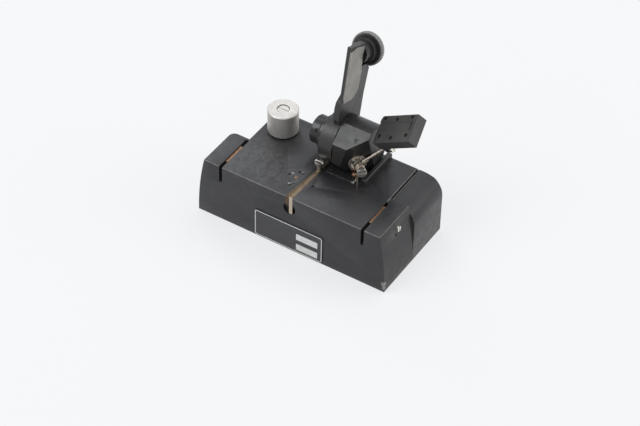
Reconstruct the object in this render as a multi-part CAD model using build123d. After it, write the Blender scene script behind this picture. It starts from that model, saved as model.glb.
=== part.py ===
from build123d import *
import math
import os

os.makedirs("parts", exist_ok=True)

# All sizes in millimetres. X runs along the base, Y from the front to the back, Z up.
# The origin is the middle of the footprint, on the surface that the mat rests on.
# Depths are counted from the front face of the base, heights from the resting surface.

# --- base casting ---
BASE_L = 151.9
BASE_D = 75.3
BASE_TOP = 48.8
FOOT_PROUD = 0.8
END_DRAFT = 5.3
REAR_ROUND = 3.8
FRONT_BEVEL = 0.5
EAR_L = 19.55
EAR_CORNER = 4.5
LEFT_EAR_D = 35.1
RIGHT_EAR_D = 37.6
RIGHT_REAR_DROP = 1.0
RIGHT_REAR_ROUND = 16.0
SEAM_W = 1.2
SEAM_DEEP = 1.2
LEFT_REAR_HIGH = 41.5
LEFT_REAR_LOW = 8.0
LEFT_REAR_CROWN = 4.0

# --- hollow underneath, its cover, screws and rubber mat ---
CAVITY_LEFT_WALL = 19.95
CAVITY_RIGHT_WALL = 13.95
CAVITY_WALL = 5.5
CAVITY_TOP = 30.0
BOSS = 10.0
COVER_T = 1.6
COVER_LEDGE = 2.2
COVER_GAP = 0.15
COVER_SCREW_R = 1.5
COVER_SCREW_L = 9.0
MAT_INSET = 1.6
MAT_CORNER = 2.5
MAT_HOLE_GAP = 0.8

# --- film grippers in the end slots ---
SLOT_FROM_STEP = 0.7
SLOT_W = 2.6
SLOT_DEEP = 14.0
LEFT_SLOT_D = 33.7
RIGHT_SLOT_D = 33.0
GRIP_L = 18.5
GRIP_H = 10.0
GRIP_SUNK = 1.0
GRIP_GAP = 0.1
LEFT_GRIP_Y = 8.1
RIGHT_GRIP_Y = 10.2
GRIP_SCREW_BACK = 11.4
GRIP_SCREW_DROP = 6.5
GRIP_SCREW_R = 1.1
GRIP_SCREW_HEAD_R = 2.1
GRIP_SCREW_HEAD_H = 1.2
GRIP_SCREW_PROUD = 1.2
GRIP_SCREW_DEEP = 6.0
PEEP_R = 1.0
PEEP_DEEP = 2.0
PEEP_FRONT = 3.4
PEEP_DROP = 3.2

# --- fixed blade across the middle ---
BLADE_FRONT_X0 = -1.0
BLADE_FRONT_X1 = 1.6
BLADE_REAR_X0 = 0.8
BLADE_REAR_X1 = 3.1
BLADE_L = 47.5
BLADE_H = 14.3
BLADE_PROUD = 0.2
BLADE_EYE_X = -0.8
BLADE_EYE_R = 4.9
BLADE_EYE_DEEP = 2.4
BLADE_EYE_DROP = 10.2
BLADE_SCREW_R = 0.8
BLADE_SCREW_BITE = 5.0
BLADE_SCREW_HEAD_R = 2.1
BLADE_SCREW_HEAD_H = 1.4
BLADE_SCREW_Y = (6.0, 26.0)
WEDGE_FRONT_X = -3.9
WEDGE_L = 33.8
WEDGE_END_T = 0.6
WEDGE_H = 7.5
FIT = 0.03

# --- stop post on the blade ---
STOP_Y = 36.0
STOP_POST_R = 1.7
STOP_HEAD_R = 3.1
STOP_HEAD_H = 2.0
STOP_TOP = 6.6
STOP_STUD_R = 0.9
STOP_STUD_L = 17.0

# --- register marks on the top ---
MARK_R = 0.8
MARK_DEEP = 2.5
MARKS = ((-6.0, 25.8), (-8.7, 25.9), (-13.7, 20.1), (-6.4, 13.5), (-7.5, 11.1), (6.4, 18.8))
PLUG_X = -8.2
PLUG_Y = 19.7
PLUG_R = 1.1
PLUG_L = 4.0

# --- name plate ---
PLATE_X0 = -28.8
PLATE_X1 = 26.6
PLATE_Z0 = 1.7
PLATE_Z1 = 25.1
PLATE_T = 0.6
PLATE_CORNER = 1.2

# --- tape hub ---
HUB_FROM_STEP = 13.7
HUB_Y = 56.5
HUB_R = 11.0
HUB_TOP = 19.2
HUB_EDGE = 0.6
HUB_GAP = 0.05
SPINDLE_R = 3.0
SPINDLE_ROOT = 7.0
WASHER_R = 6.0
WASHER_T = 0.5
HUB_RECESS_R = 4.6
HUB_RECESS_DEEP = 2.0
HUB_SCREW_R = 1.25
HUB_SCREW_HEAD_R = 4.0
HUB_SCREW_HEAD_H = 1.3
HUB_SCREW_L = 8.0
END_PLAY = 0.1

# --- head: foot plate and body ---
FOOT_PLATE_T = 0.9
FOOT_PLATE_X0 = 6.4
FOOT_PLATE_X1 = 28.2
FOOT_PLATE_Y0 = 35.7
FOOT_PLATE_Y1 = 69.0
PLATE_SCREW_R = 1.1
PLATE_SCREW_HEAD_R = 2.1
PLATE_SCREW_L = 8.0
AXIS_Y = 52.4
AXIS_Z = 68.0
HEAD_X0 = 10.3
HEAD_L = 22.6
HEAD_R = 18.9
PEDESTAL_HALF = 7.15
PEDESTAL_TOP = 60.0
FLAT_TILT = 38.3
FLAT_DEEP = 2.0
CORNER_TURN = 43.8
CORNER_LEAN = 11.5
CORNER_X = 21.3
CORNER_UP = 7.6
END_HOLE_R = 0.7
END_HOLE_DEEP = 3.0
END_HOLES = ((6.0, -9.6), (10.7, -10.3))
HEAD_SCREW_R = 2.5
HEAD_SCREW_HEAD_R = 4.0
HEAD_SCREW_HEAD_H = 5.0
HEAD_SCREW_BITE = 7.0
HEAD_SCREW_INSET = 4.6

# --- lever shaft, collar and ring ---
SHAFT_R = 5.0
SHAFT_X0 = -12.0
SHAFT_BITE = 11.7
SHAFT_TAIL_R = 3.2
SHAFT_TAIL_L = 7.0
RUN_GAP = 0.04
BUSH_WALL = 2.0
COLLAR_R = 10.3
COLLAR_W = 7.2
COLLAR_X0 = -12.6
COLLAR_EDGE = 0.8
RING_R = 12.6
RING_W = 4.2
SIDE_PLAY = 0.3
SET_SCREW_R = 1.5
SET_SCREW_SUNK = 0.8
COLLAR_SCREW_TURN = 35.0
COLLAR_SCREW_AT = 5.2
SHAFT_SCREW_X = 25.4

# --- lever ---
LEVER_LEAN = 18.3
LEVER_HUB_R = 17.8
LEVER_HUB_W = 10.6
LEVER_FACE_X = 9.5
LEVER_T = 4.2
LEVER_EDGE_T = 2.6
LEVER_BEVEL_D = -9.0
LEVER_ROOT = (
    (13.5, -11.6),
    (18.0, -14.6),
    (23.0, -15.6),
    (27.0, -16.3),
    (30.6, -15.9),
    (33.5, -15.0),
)
LEVER_BEVEL_S0 = 31.0
LEVER_BEVEL_S1 = 38.0
LEVER_REAR_S = 31.0
LEVER_EDGE_S = 36.5
LEVER_EDGE_D = -14.5
LEVER_TOP_D = -18.9
LEVER_REAR_D = 14.9
LEVER_NOTCH_S = 54.2
LEVER_NOTCH_D = 1.0
LEVER_LIP_S = 50.7
LEVER_LIP_D = 12.4
LEVER_TOP_S = 73.6
LEVER_TOP_REAR_S = 72.2
ROOT_WIDEN = 1.7

# --- bare cutter plate on the lever ---
CUTTER_T = 1.3
CUTTER_S0 = 31.8
CUTTER_S1 = 70.4
CUTTER_TOP_S = 72.0
CUTTER_TOP_D = -9.8
CUTTER_LOW_D = -14.3
CUTTER_HIGH_D = -18.6
CUTTER_REAR_TOP_S = 70.8
CUTTER_REAR_TOP_D = -1.2
CUTTER_REAR_D = 0.6
CUTTER_STEP_S = 53.6
CUTTER_SWELL = 1.7
CUTTER_FOOT_S = 38.7
CUTTER_CURVE = ((36.2, 0.8), (33.4, -1.8), (32.0, -5.0))
CUTTER_SCREW_R = 1.1
CUTTER_SCREW_HEAD_R = 2.0
CUTTER_SCREW_S = (40.0, 58.0)
CUTTER_SCREW_D = -6.0

# --- palm knob ---
KNOB_X = 6.0
KNOB_S = 63.0
BOSS_R = 6.9
BOSS_L = 11.4
BOSS_FLANGE_R = 8.6
BOSS_FLANGE_L = 4.4
KNOB_R = 12.0
KNOB_T = 3.5
KNOB_GAP = 0.3
KNOB_FLUTES = 40
KNOB_FLUTE_R = 0.45
KNOB_DISH_R = 7.0
KNOB_DISH_DEEP = 1.2
KNOB_SCREW_R = 1.6
KNOB_SCREW_HEAD_R = 3.6
KNOB_SCREW_HEAD_H = 1.8
KNOB_SCREW_BITE = 7.0
BOSS_SCREW_R = 1.3

# --- splice pad on its sprung stay ---
PIVOT_X = 27.6
PIVOT_Y = 42.2
PIVOT_Z = 61.3
PIVOT_TURN = 43.8
PIVOT_RISE = 3.5
STAY_R = 1.15
STAY_L = 29.0
STAY_RISE = 31.5
STAY_EYE_R = 3.5
STAY_EYE_T = 2.4
PIVOT_R = 1.8
PIVOT_HEAD_R = 3.4
PIVOT_HEAD_H = 2.6
PIVOT_HEAD_AT = 7.4
PIVOT_ROOT = 14.0
CUP_R = 6.5
CUP_WALL = 1.5
CUP_CLEAR = 12.0
CUP_DEEP = 3.6
CUP_FRONT = -1.9
COIL_R = 2.7
WIRE_R = 0.6
COIL_PITCH = 1.65
COIL_TURNS = 2
COIL_START = 2.75
LEG_CROSS = 20.0
LEG_L = 7.0
WIRE_SUNK = 2.0
WIRE_GAP = 0.15
STUD_R = 1.8
STUD_L = 6.0
STUD_SIDE = -2.8
STUD_DROP = 8.2
PAD_L = 34.8
PAD_W = 20.8
PAD_T = 8.3
PAD_FACE_T = 3.0
PAD_CORNER_X = 35.2
PAD_CORNER_Y = 46.5
PAD_CORNER_Z = 81.1
PAD_NORMAL_TURN = 47.6
PAD_NORMAL_RISE = 46.9
PAD_SPIN = 49.8
PAD_OUTER_U = (3.9, 29.7)
PAD_OUTER_V = (5.2, 18.8)
PAD_MIDDLE_U = 15.7
PAD_MIDDLE_V = (3.6, 17.8)
PAD_CUT_U = 1.3
PAD_CUT_V = 2.8
PAD_SCREW_R = 0.9
PAD_SCREW_HEAD_R = 1.5
PAD_SCREW_SUNK = 0.7
PAD_SCREW_L = 6.0
BED_U = 31.9
BED_V0 = 8.0
BED_V1 = 16.2
BED_DEEP = 0.35
BED_END_W = 1.9
BED_END_DEEP = 1.2
BED_CORNER = 1.0
CLAMP_L = 5.7
CLAMP_W = 5.8
CLAMP_H = 7.1
CLAMP_U = -0.5
CLAMP_V = 1.2
CLAMP_SLIT_U = 0.5
CLAMP_SLIT_W = 0.6
CLAMP_SLIT_L = 5.0
CLAMP_SCREW_V = 1.6
CLAMP_SCREW_W = 5.2
CLAMP_SCREW_L = 4.8
CLAMP_SCREW_R = 1.1
CLAMP_SCREW_HEAD_R = 2.2
CLAMP_SCREW_HEAD_H = 1.6

# --- rest rail beside the head ---
RAIL_X0 = 33.1
RAIL_W = 3.6
RAIL_Y0 = 37.3
RAIL_REAR_INSET = 3.3
RAIL_H = 5.4
RAIL_ROUND = 0.9
RAIL_SCREW_R = 1.0
RAIL_SCREW_BITE = 3.5
RAIL_SCREW_INSET = 8.0
RAIL_SCREW_HEAD_H = 1.8

# --- derived places ---
TOP_HALF = BASE_L / 2 - EAR_L
SLOT_X = TOP_HALF + SLOT_FROM_STEP
HUB_X = HUB_FROM_STEP - TOP_HALF
CAVITY_X0 = CAVITY_LEFT_WALL - BASE_L / 2
CAVITY_X1 = BASE_L / 2 - CAVITY_RIGHT_WALL
FRONT = -BASE_D / 2
REAR = BASE_D / 2
BOTTOM = FOOT_PROUD
AXIS = Vector(0, FRONT + AXIS_Y, AXIS_Z)
ALONG = Vector(0, math.sin(math.radians(LEVER_LEAN)), math.cos(math.radians(LEVER_LEAN)))
ACROSS = Vector(0, math.cos(math.radians(LEVER_LEAN)), -math.sin(math.radians(LEVER_LEAN)))
LEVER_X0 = LEVER_FACE_X + 0.5 - LEVER_HUB_W


def block(x0, x1, y0, y1, z0, z1):
    """A box between two corners."""
    return Pos((x0 + x1) / 2, (y0 + y1) / 2, (z0 + z1) / 2) * Box(x1 - x0, y1 - y0, z1 - z0)


def round_bar(start, direction, radius, length):
    """A cylinder that starts at a point and runs along a direction."""
    bar = Cylinder(radius, length, align=(Align.CENTER, Align.CENTER, Align.MIN))
    return Plane(origin=start, z_dir=direction) * bar


def tapered_bar(start, direction, radius0, radius1, length):
    """A cone from one radius to another."""
    bar = Cone(radius0, radius1, length, align=(Align.CENTER, Align.CENTER, Align.MIN))
    return Plane(origin=start, z_dir=direction) * bar


def prism_yz(points, x0, x1):
    """A prism along X over an outline of (y, z) points."""
    face = Plane.YZ.offset(x0) * Polygon(*points, align=None)
    return extrude(face, amount=x1 - x0, dir=(1, 0, 0))


def prism_xy(points, z0, z1):
    """A prism along Z over an outline of (x, y) points."""
    face = Plane.XY.offset(z0) * Polygon(*points, align=None)
    return extrude(face, amount=z1 - z0, dir=(0, 0, 1))


def prism_along_y(edges, y0, y1):
    """A prism along Y over a closed outline of edges in the XZ plane."""
    face = Pos(0, y0, 0) * make_face(edges)
    return extrude(face, amount=y1 - y0, dir=(0, 1, 0))


def slotted_head(top, direction, radius, height):
    """A screw head with a screwdriver slot; its outer face lies at the given point."""
    axis = Vector(*direction).normalized()
    head = round_bar(Vector(*top) - axis * height, axis, radius, height)
    slot = Plane(origin=Vector(*top), z_dir=axis) * Box(radius * 2.4, radius * 0.28, height * 0.9)
    return head - slot


def flat_screw(top, direction, head_radius, shank_radius, length):
    """A countersunk slotted screw whose flat top lies at the given point, facing the direction."""
    axis = Vector(*direction).normalized()
    tip = Vector(*top)
    depth = head_radius - shank_radius
    head = tapered_bar(tip - axis * depth, axis, shank_radius, head_radius, depth)
    slot = Plane(origin=tip, z_dir=axis) * Box(head_radius * 2.4, head_radius * 0.28, depth * 0.9)
    shank = round_bar(tip - axis * length, axis, shank_radius, length - depth * 0.999)
    return (head + shank) - slot


def flat_screw_hole(top, direction, head_radius, shank_radius, length):
    """The countersunk hole that the same screw fills."""
    axis = Vector(*direction).normalized()
    tip = Vector(*top)
    depth = head_radius - shank_radius
    head = tapered_bar(tip - axis * depth, axis, shank_radius, head_radius, depth)
    return head + round_bar(tip - axis * length, axis, shank_radius, length)


def lever_point(x, s, d):
    """A point of the lever: s along the arm from the hinge axis, d across it towards the back."""
    return Vector(x, 0, 0) + AXIS + ALONG * s + ACROSS * d


def lever_prism(outline, x0, x1):
    """A prism along X over an outline of (s, d) points on the lever."""
    points = [lever_point(0, s, d) for s, d in outline]
    return prism_yz([(p.Y, p.Z) for p in points], x0, x1)


def save(shape, name):
    """Write one node and print how many solids it holds."""
    export_step(shape, "parts/" + name + ".step")
    print(name, len(shape.solids()), round(shape.volume, 2))


def group(shapes):
    """Several separate solids under one name."""
    return Compound(children=[s for shape in shapes for s in shape.solids()])


# ---------------------------------------------------------------- base casting
half = BASE_L / 2
side_low = BOTTOM
draft_mid_z = (BOTTOM + BASE_TOP) / 2


def end_outline(sign):
    """The front outline of one half of the base, with its gently curved and drafted end."""
    low = (sign * half, 0, side_low)
    middle = (sign * (half - END_DRAFT * 0.25), 0, draft_mid_z)
    high = (sign * (half - END_DRAFT), 0, BASE_TOP)
    return [
        Line((0, 0, side_low), low),
        ThreePointArc(low, middle, high),
        Line(high, (0, 0, BASE_TOP)),
        Line((0, 0, BASE_TOP), (0, 0, side_low)),
    ]


left_front = prism_along_y(end_outline(-1), FRONT, FRONT + LEFT_EAR_D)
ear_edges = left_front.edges().filter_by(Plane.XZ).sort_by(Axis.X)
ear_corner = [e for e in ear_edges[:4] if e.geom_type != GeomType.LINE and e.center().Y > FRONT + 1]
left_front = fillet(ear_corner, EAR_CORNER)
right_front = prism_along_y(end_outline(1), FRONT, FRONT + RIGHT_EAR_D)
middle_block = block(-TOP_HALF, TOP_HALF, FRONT, REAR, BOTTOM, BASE_TOP)
rr_top = BASE_TOP - RIGHT_REAR_DROP
rr_in = half - RIGHT_REAR_ROUND
rr_low = rr_top - RIGHT_REAR_ROUND
rr_mid = RIGHT_REAR_ROUND * math.sqrt(0.5)
right_rear = prism_along_y(
    [
        Line((0, 0, BOTTOM), (half, 0, BOTTOM)),
        Line((half, 0, BOTTOM), (half, 0, rr_low)),
        ThreePointArc((half, 0, rr_low), (rr_in + rr_mid, 0, rr_low + rr_mid), (rr_in, 0, rr_top)),
        Line((rr_in, 0, rr_top), (0, 0, rr_top)),
        Line((0, 0, rr_top), (0, 0, BOTTOM)),
    ],
    FRONT + RIGHT_EAR_D,
    REAR,
)
lr_dx = half - TOP_HALF
lr_dz = LEFT_REAR_HIGH - LEFT_REAR_LOW
lr_len = math.hypot(lr_dx, lr_dz)
lr_mid_x = -(half + TOP_HALF) / 2 - LEFT_REAR_CROWN * lr_dz / lr_len
lr_mid_z = (LEFT_REAR_HIGH + LEFT_REAR_LOW) / 2 + LEFT_REAR_CROWN * lr_dx / lr_len
left_rear = prism_along_y(
    [
        Line((0, 0, BOTTOM), (-half, 0, BOTTOM)),
        Line((-half, 0, BOTTOM), (-half, 0, LEFT_REAR_LOW)),
        ThreePointArc(
            (-half, 0, LEFT_REAR_LOW), (lr_mid_x, 0, lr_mid_z), (-TOP_HALF, 0, LEFT_REAR_HIGH)
        ),
        Line((-TOP_HALF, 0, LEFT_REAR_HIGH), (0, 0, LEFT_REAR_HIGH)),
        Line((0, 0, LEFT_REAR_HIGH), (0, 0, BOTTOM)),
    ],
    FRONT + LEFT_EAR_D,
    REAR,
)
casting = middle_block + left_front + right_front + right_rear + left_rear
side_profile = prism_yz(
    [
        (FRONT, BOTTOM),
        (REAR, BOTTOM),
        (REAR, BASE_TOP - REAR_ROUND),
        (REAR - REAR_ROUND * 0.293, BASE_TOP - REAR_ROUND * 0.293),
        (REAR - REAR_ROUND, BASE_TOP),
        (FRONT + FRONT_BEVEL, BASE_TOP),
        (FRONT, BASE_TOP - FRONT_BEVEL),
    ],
    -half,
    half,
)
casting = casting & side_profile

# Narrow groove along the foot of the step on the right.
casting -= block(
    TOP_HALF, TOP_HALF + SEAM_W, FRONT + RIGHT_EAR_D, REAR + 1, rr_top - SEAM_DEEP, BASE_TOP + 1
)

cavity = block(CAVITY_X0, CAVITY_X1, FRONT + CAVITY_WALL, REAR - CAVITY_WALL, BOTTOM, CAVITY_TOP)
boss_places = [
    (x, y)
    for x in (CAVITY_X0 + BOSS / 2, CAVITY_X1 - BOSS / 2)
    for y in (FRONT + CAVITY_WALL + BOSS / 2, REAR - CAVITY_WALL - BOSS / 2)
]
for bx, by in boss_places:
    cavity -= block(bx - BOSS / 2, bx + BOSS / 2, by - BOSS / 2, by + BOSS / 2, BOTTOM, CAVITY_TOP)
casting -= cavity
casting -= block(
    CAVITY_X0 - COVER_LEDGE,
    CAVITY_X1 + COVER_LEDGE,
    FRONT + CAVITY_WALL - COVER_LEDGE,
    REAR - CAVITY_WALL + COVER_LEDGE,
    BOTTOM,
    BOTTOM + COVER_T,
)
for bx, by in boss_places:
    casting -= round_bar((bx, by, BOTTOM), (0, 0, 1), COVER_SCREW_R, COVER_SCREW_L)

# Slots at the ends, with a cross screw through each outer wall.
slot_floor = BASE_TOP - SLOT_DEEP
grip_top = BASE_TOP - GRIP_SUNK
grip_screw_z = grip_top - GRIP_SCREW_DROP
GRIPS = ((-1, LEFT_SLOT_D, LEFT_GRIP_Y), (1, RIGHT_SLOT_D, RIGHT_GRIP_Y))
draft_drop = END_DRAFT * ((grip_screw_z - BOTTOM) / (BASE_TOP - BOTTOM)) ** 2
end_at_screw = half - draft_drop
grippers = []
grip_screws = []
for sign, slot_d, grip_y in GRIPS:
    x_mid = sign * SLOT_X
    casting -= block(
        x_mid - SLOT_W / 2, x_mid + SLOT_W / 2, FRONT - 1, FRONT + slot_d, slot_floor, BASE_TOP + 1
    )
    screw_y = FRONT + grip_y + GRIP_SCREW_BACK
    inner = Vector(sign * (SLOT_X - SLOT_W / 2 - GRIP_SCREW_DEEP), screw_y, grip_screw_z)
    out = (sign, 0, 0)
    reach = end_at_screw - abs(inner.X)
    hole = round_bar(inner, out, GRIP_SCREW_R, reach + 2)
    head_seat = round_bar(
        (sign * (end_at_screw - GRIP_SCREW_HEAD_H), screw_y, grip_screw_z),
        out,
        GRIP_SCREW_HEAD_R,
        GRIP_SCREW_HEAD_H + 2,
    )
    casting -= hole + head_seat
    peep = (sign * (half - END_DRAFT - PEEP_DEEP), screw_y - PEEP_FRONT, grip_screw_z - PEEP_DROP)
    casting -= round_bar(peep, out, PEEP_R, PEEP_DEEP + 4)
    grip_w = SLOT_W / 2 - GRIP_GAP
    bar = block(
        x_mid - grip_w,
        x_mid + grip_w,
        FRONT + grip_y,
        FRONT + grip_y + GRIP_L,
        grip_top - GRIP_H,
        grip_top,
    )
    grippers.append(bar - hole)
    screw = round_bar(inner, out, GRIP_SCREW_R, reach - GRIP_SCREW_HEAD_H * 0.5)
    head_top = (sign * (end_at_screw + GRIP_SCREW_PROUD), screw_y, grip_screw_z)
    grip_screws.append(
        screw
        + slotted_head(head_top, out, GRIP_SCREW_HEAD_R, GRIP_SCREW_HEAD_H + GRIP_SCREW_PROUD)
    )

# Slot for the fixed blade, with a round relief about its front end.
def blade_x(depth):
    """Where the two long sides of the blade lie at a depth from the front face."""
    share = depth / BLADE_L
    low = BLADE_FRONT_X0 + (BLADE_REAR_X0 - BLADE_FRONT_X0) * share
    high = BLADE_FRONT_X1 + (BLADE_REAR_X1 - BLADE_FRONT_X1) * share
    return low, high


def wedge_plan(near, gap):
    """The plan of the wedge that fills the slot on the left of the blade."""
    right_far = blade_x(WEDGE_L)[0]
    left_far = right_far - WEDGE_END_T
    left_near = WEDGE_FRONT_X + (left_far - WEDGE_FRONT_X) * near / WEDGE_L
    return [
        (left_near - gap, FRONT + near),
        (blade_x(near)[0], FRONT + near),
        (right_far, FRONT + WEDGE_L + gap),
        (left_far - gap, FRONT + WEDGE_L + gap),
    ]


def blade_plan(near, far, gap):
    """The blade's plan between two depths, wider by a gap on each side."""
    near_low, near_high = blade_x(near)
    far_low, far_high = blade_x(far)
    return [
        (near_low - gap, FRONT + near),
        (near_high + gap, FRONT + near),
        (far_high + gap, FRONT + far),
        (far_low - gap, FRONT + far),
    ]


blade_floor = BASE_TOP - BLADE_H
casting -= prism_xy(blade_plan(-1.0, BLADE_L + FIT, FIT), blade_floor, BASE_TOP + 1)
wedge_floor = BASE_TOP - WEDGE_H
casting -= prism_xy(wedge_plan(-1.0, FIT), wedge_floor, BASE_TOP + 1)
casting -= round_bar(
    (BLADE_EYE_X, FRONT - 1, BASE_TOP - BLADE_EYE_DROP), (0, 1, 0), BLADE_EYE_R, BLADE_EYE_DEEP + 1
)
blade = prism_xy(blade_plan(0, BLADE_L, 0), blade_floor, BASE_TOP + BLADE_PROUD)
wedge = prism_xy(wedge_plan(0, 0), wedge_floor, BASE_TOP + BLADE_PROUD / 2)
blade_screws = []
for place in BLADE_SCREW_Y:
    from_front = CAVITY_WALL + place
    x_low, x_high = blade_x(from_front)
    x_mid = (x_low + x_high) / 2
    seat = (x_mid, FRONT + from_front, CAVITY_TOP)
    reach = blade_floor - CAVITY_TOP + BLADE_SCREW_BITE
    shank = round_bar(seat, (0, 0, 1), BLADE_SCREW_R, reach)
    casting -= shank
    blade -= shank
    head_top = (x_mid, FRONT + from_front, CAVITY_TOP - BLADE_SCREW_HEAD_H)
    head = slotted_head(head_top, (0, 0, -1), BLADE_SCREW_HEAD_R, BLADE_SCREW_HEAD_H)
    blade_screws.append(shank + head)

# Stop post: a stud through the blade, a plain post and a slotted head.
stop_at = (0, FRONT + STOP_Y, BASE_TOP + BLADE_PROUD)
stud = round_bar((0, FRONT + STOP_Y, BASE_TOP - STOP_STUD_L), (0, 0, 1), STOP_STUD_R, STOP_STUD_L + 1)
casting -= stud
blade -= stud
post = round_bar(stop_at, (0, 0, 1), STOP_POST_R, STOP_TOP - STOP_HEAD_H - BLADE_PROUD)
stop_head_top = (0, FRONT + STOP_Y, BASE_TOP + STOP_TOP)
stop = stud + post + slotted_head(stop_head_top, (0, 0, 1), STOP_HEAD_R, STOP_HEAD_H)

# Small marks drilled in the top, one of them filled with a plug.
for mx, my in MARKS:
    casting -= round_bar((mx, FRONT + my, BASE_TOP - MARK_DEEP), (0, 0, 1), MARK_R, MARK_DEEP + 1)
plug = round_bar((PLUG_X, FRONT + PLUG_Y, BASE_TOP - PLUG_L), (0, 0, 1), PLUG_R, PLUG_L)
casting -= plug

# Spindle of the tape hub, pressed into the base.
spindle_root = (HUB_X, FRONT + HUB_Y, BASE_TOP - SPINDLE_ROOT)
hub_floor = BASE_TOP + HUB_TOP - HUB_RECESS_DEEP
spindle = round_bar(
    spindle_root, (0, 0, 1), SPINDLE_R, SPINDLE_ROOT + HUB_TOP - HUB_RECESS_DEEP + END_PLAY
)
casting -= round_bar(spindle_root, (0, 0, 1), SPINDLE_R, SPINDLE_ROOT + 1)
spindle_top = (HUB_X, FRONT + HUB_Y, hub_floor + END_PLAY)
hub_screw_shank = round_bar(
    (HUB_X, FRONT + HUB_Y, hub_floor + END_PLAY - HUB_SCREW_L), (0, 0, 1), HUB_SCREW_R, HUB_SCREW_L
)
spindle -= hub_screw_shank
hub_screw_top = (HUB_X, FRONT + HUB_Y, hub_floor + END_PLAY + HUB_SCREW_HEAD_H)
hub_screw = hub_screw_shank + slotted_head(
    hub_screw_top, (0, 0, 1), HUB_SCREW_HEAD_R, HUB_SCREW_HEAD_H
)
washer = round_bar((HUB_X, FRONT + HUB_Y, BASE_TOP), (0, 0, 1), WASHER_R, WASHER_T)
washer -= round_bar((HUB_X, FRONT + HUB_Y, BASE_TOP), (0, 0, 1), SPINDLE_R, WASHER_T)
hub_low = BASE_TOP + WASHER_T + END_PLAY
hub_high = BASE_TOP + HUB_TOP
hub = round_bar((HUB_X, FRONT + HUB_Y, hub_low), (0, 0, 1), HUB_R, hub_high - hub_low)
hub = chamfer(hub.edges().filter_by(GeomType.CIRCLE), HUB_EDGE)
hub -= round_bar(
    (HUB_X, FRONT + HUB_Y, hub_low - 1), (0, 0, 1), SPINDLE_R + HUB_GAP, hub_high - hub_low + 2
)
hub -= round_bar(
    (HUB_X, FRONT + HUB_Y, hub_floor), (0, 0, 1), HUB_RECESS_R, HUB_RECESS_DEEP + 1
)

# ---------------------------------------------------------------- name plate, bare
name_plate = block(PLATE_X0, PLATE_X1, FRONT - PLATE_T, FRONT, PLATE_Z0, PLATE_Z1)
name_plate = fillet(name_plate.edges().filter_by(Axis.Y), PLATE_CORNER)

# ---------------------------------------------------------------- head
head_x1 = HEAD_X0 + HEAD_L
plate_z1 = BASE_TOP + FOOT_PLATE_T
foot_plate = block(
    FOOT_PLATE_X0,
    FOOT_PLATE_X1,
    FRONT + FOOT_PLATE_Y0,
    FRONT + FOOT_PLATE_Y1,
    BASE_TOP,
    plate_z1,
)
inset = PLATE_SCREW_HEAD_R + 0.9
plate_screw_places = [
    (FOOT_PLATE_X0 + inset, FRONT + FOOT_PLATE_Y0 + inset),
    (FOOT_PLATE_X1 - inset, FRONT + FOOT_PLATE_Y0 + inset),
    (FOOT_PLATE_X0 + inset, FRONT + FOOT_PLATE_Y1 - inset),
    (FOOT_PLATE_X1 - inset, FRONT + FOOT_PLATE_Y1 - inset),
]
plate_screws = []
for px, py in plate_screw_places:
    at = (px, py, plate_z1)
    hole = flat_screw_hole(at, (0, 0, 1), PLATE_SCREW_HEAD_R, PLATE_SCREW_R, PLATE_SCREW_L)
    foot_plate -= hole
    casting -= hole
    plate_screws.append(
        flat_screw(at, (0, 0, 1), PLATE_SCREW_HEAD_R, PLATE_SCREW_R, PLATE_SCREW_L)
    )

axis_at_head = Vector(HEAD_X0, AXIS.Y, AXIS.Z)
body = round_bar(axis_at_head, (1, 0, 0), HEAD_R, HEAD_L)
body += block(
    HEAD_X0, FOOT_PLATE_X1, AXIS.Y - PEDESTAL_HALF, AXIS.Y + PEDESTAL_HALF, plate_z1, PEDESTAL_TOP
)
body &= block(HEAD_X0, head_x1, FRONT, REAR + HEAD_R, plate_z1, AXIS_Z + HEAD_R)
flat_dir = Vector(
    0, -math.sin(math.radians(FLAT_TILT)), math.cos(math.radians(FLAT_TILT))
)
flat_at = AXIS + Vector(HEAD_X0 + HEAD_L / 2, 0, 0) + flat_dir * (HEAD_R - FLAT_DEEP)
flat_tool = Box(HEAD_L * 3, HEAD_R * 3, HEAD_R, align=(Align.CENTER, Align.CENTER, Align.MIN))
body -= Plane(origin=flat_at, x_dir=(1, 0, 0), z_dir=flat_dir) * flat_tool
front_flat_y = AXIS.Y - HEAD_R + FLAT_DEEP
front_tool = block(
    HEAD_X0 - 1, head_x1 + 1, AXIS.Y - HEAD_R * 2, front_flat_y, BOTTOM, AXIS_Z + HEAD_R * 2
)
body -= front_tool
turn = math.radians(CORNER_TURN)
lean = math.radians(CORNER_LEAN)
corner_dir = Vector(
    math.cos(turn) * math.cos(lean), -math.sin(turn) * math.cos(lean), -math.sin(lean)
)
corner_at = Vector(CORNER_X, front_flat_y, AXIS_Z + CORNER_UP)
corner_tool = Box(HEAD_L * 4, HEAD_R * 5, HEAD_R * 2, align=(Align.CENTER, Align.CENTER, Align.MIN))
body -= Plane(origin=corner_at, z_dir=corner_dir) * corner_tool

for dy, dz in END_HOLES:
    hole_at = (head_x1 - END_HOLE_DEEP, AXIS.Y + dy, AXIS.Z + dz)
    body -= round_bar(hole_at, (1, 0, 0), END_HOLE_R, END_HOLE_DEEP + 1)

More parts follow.
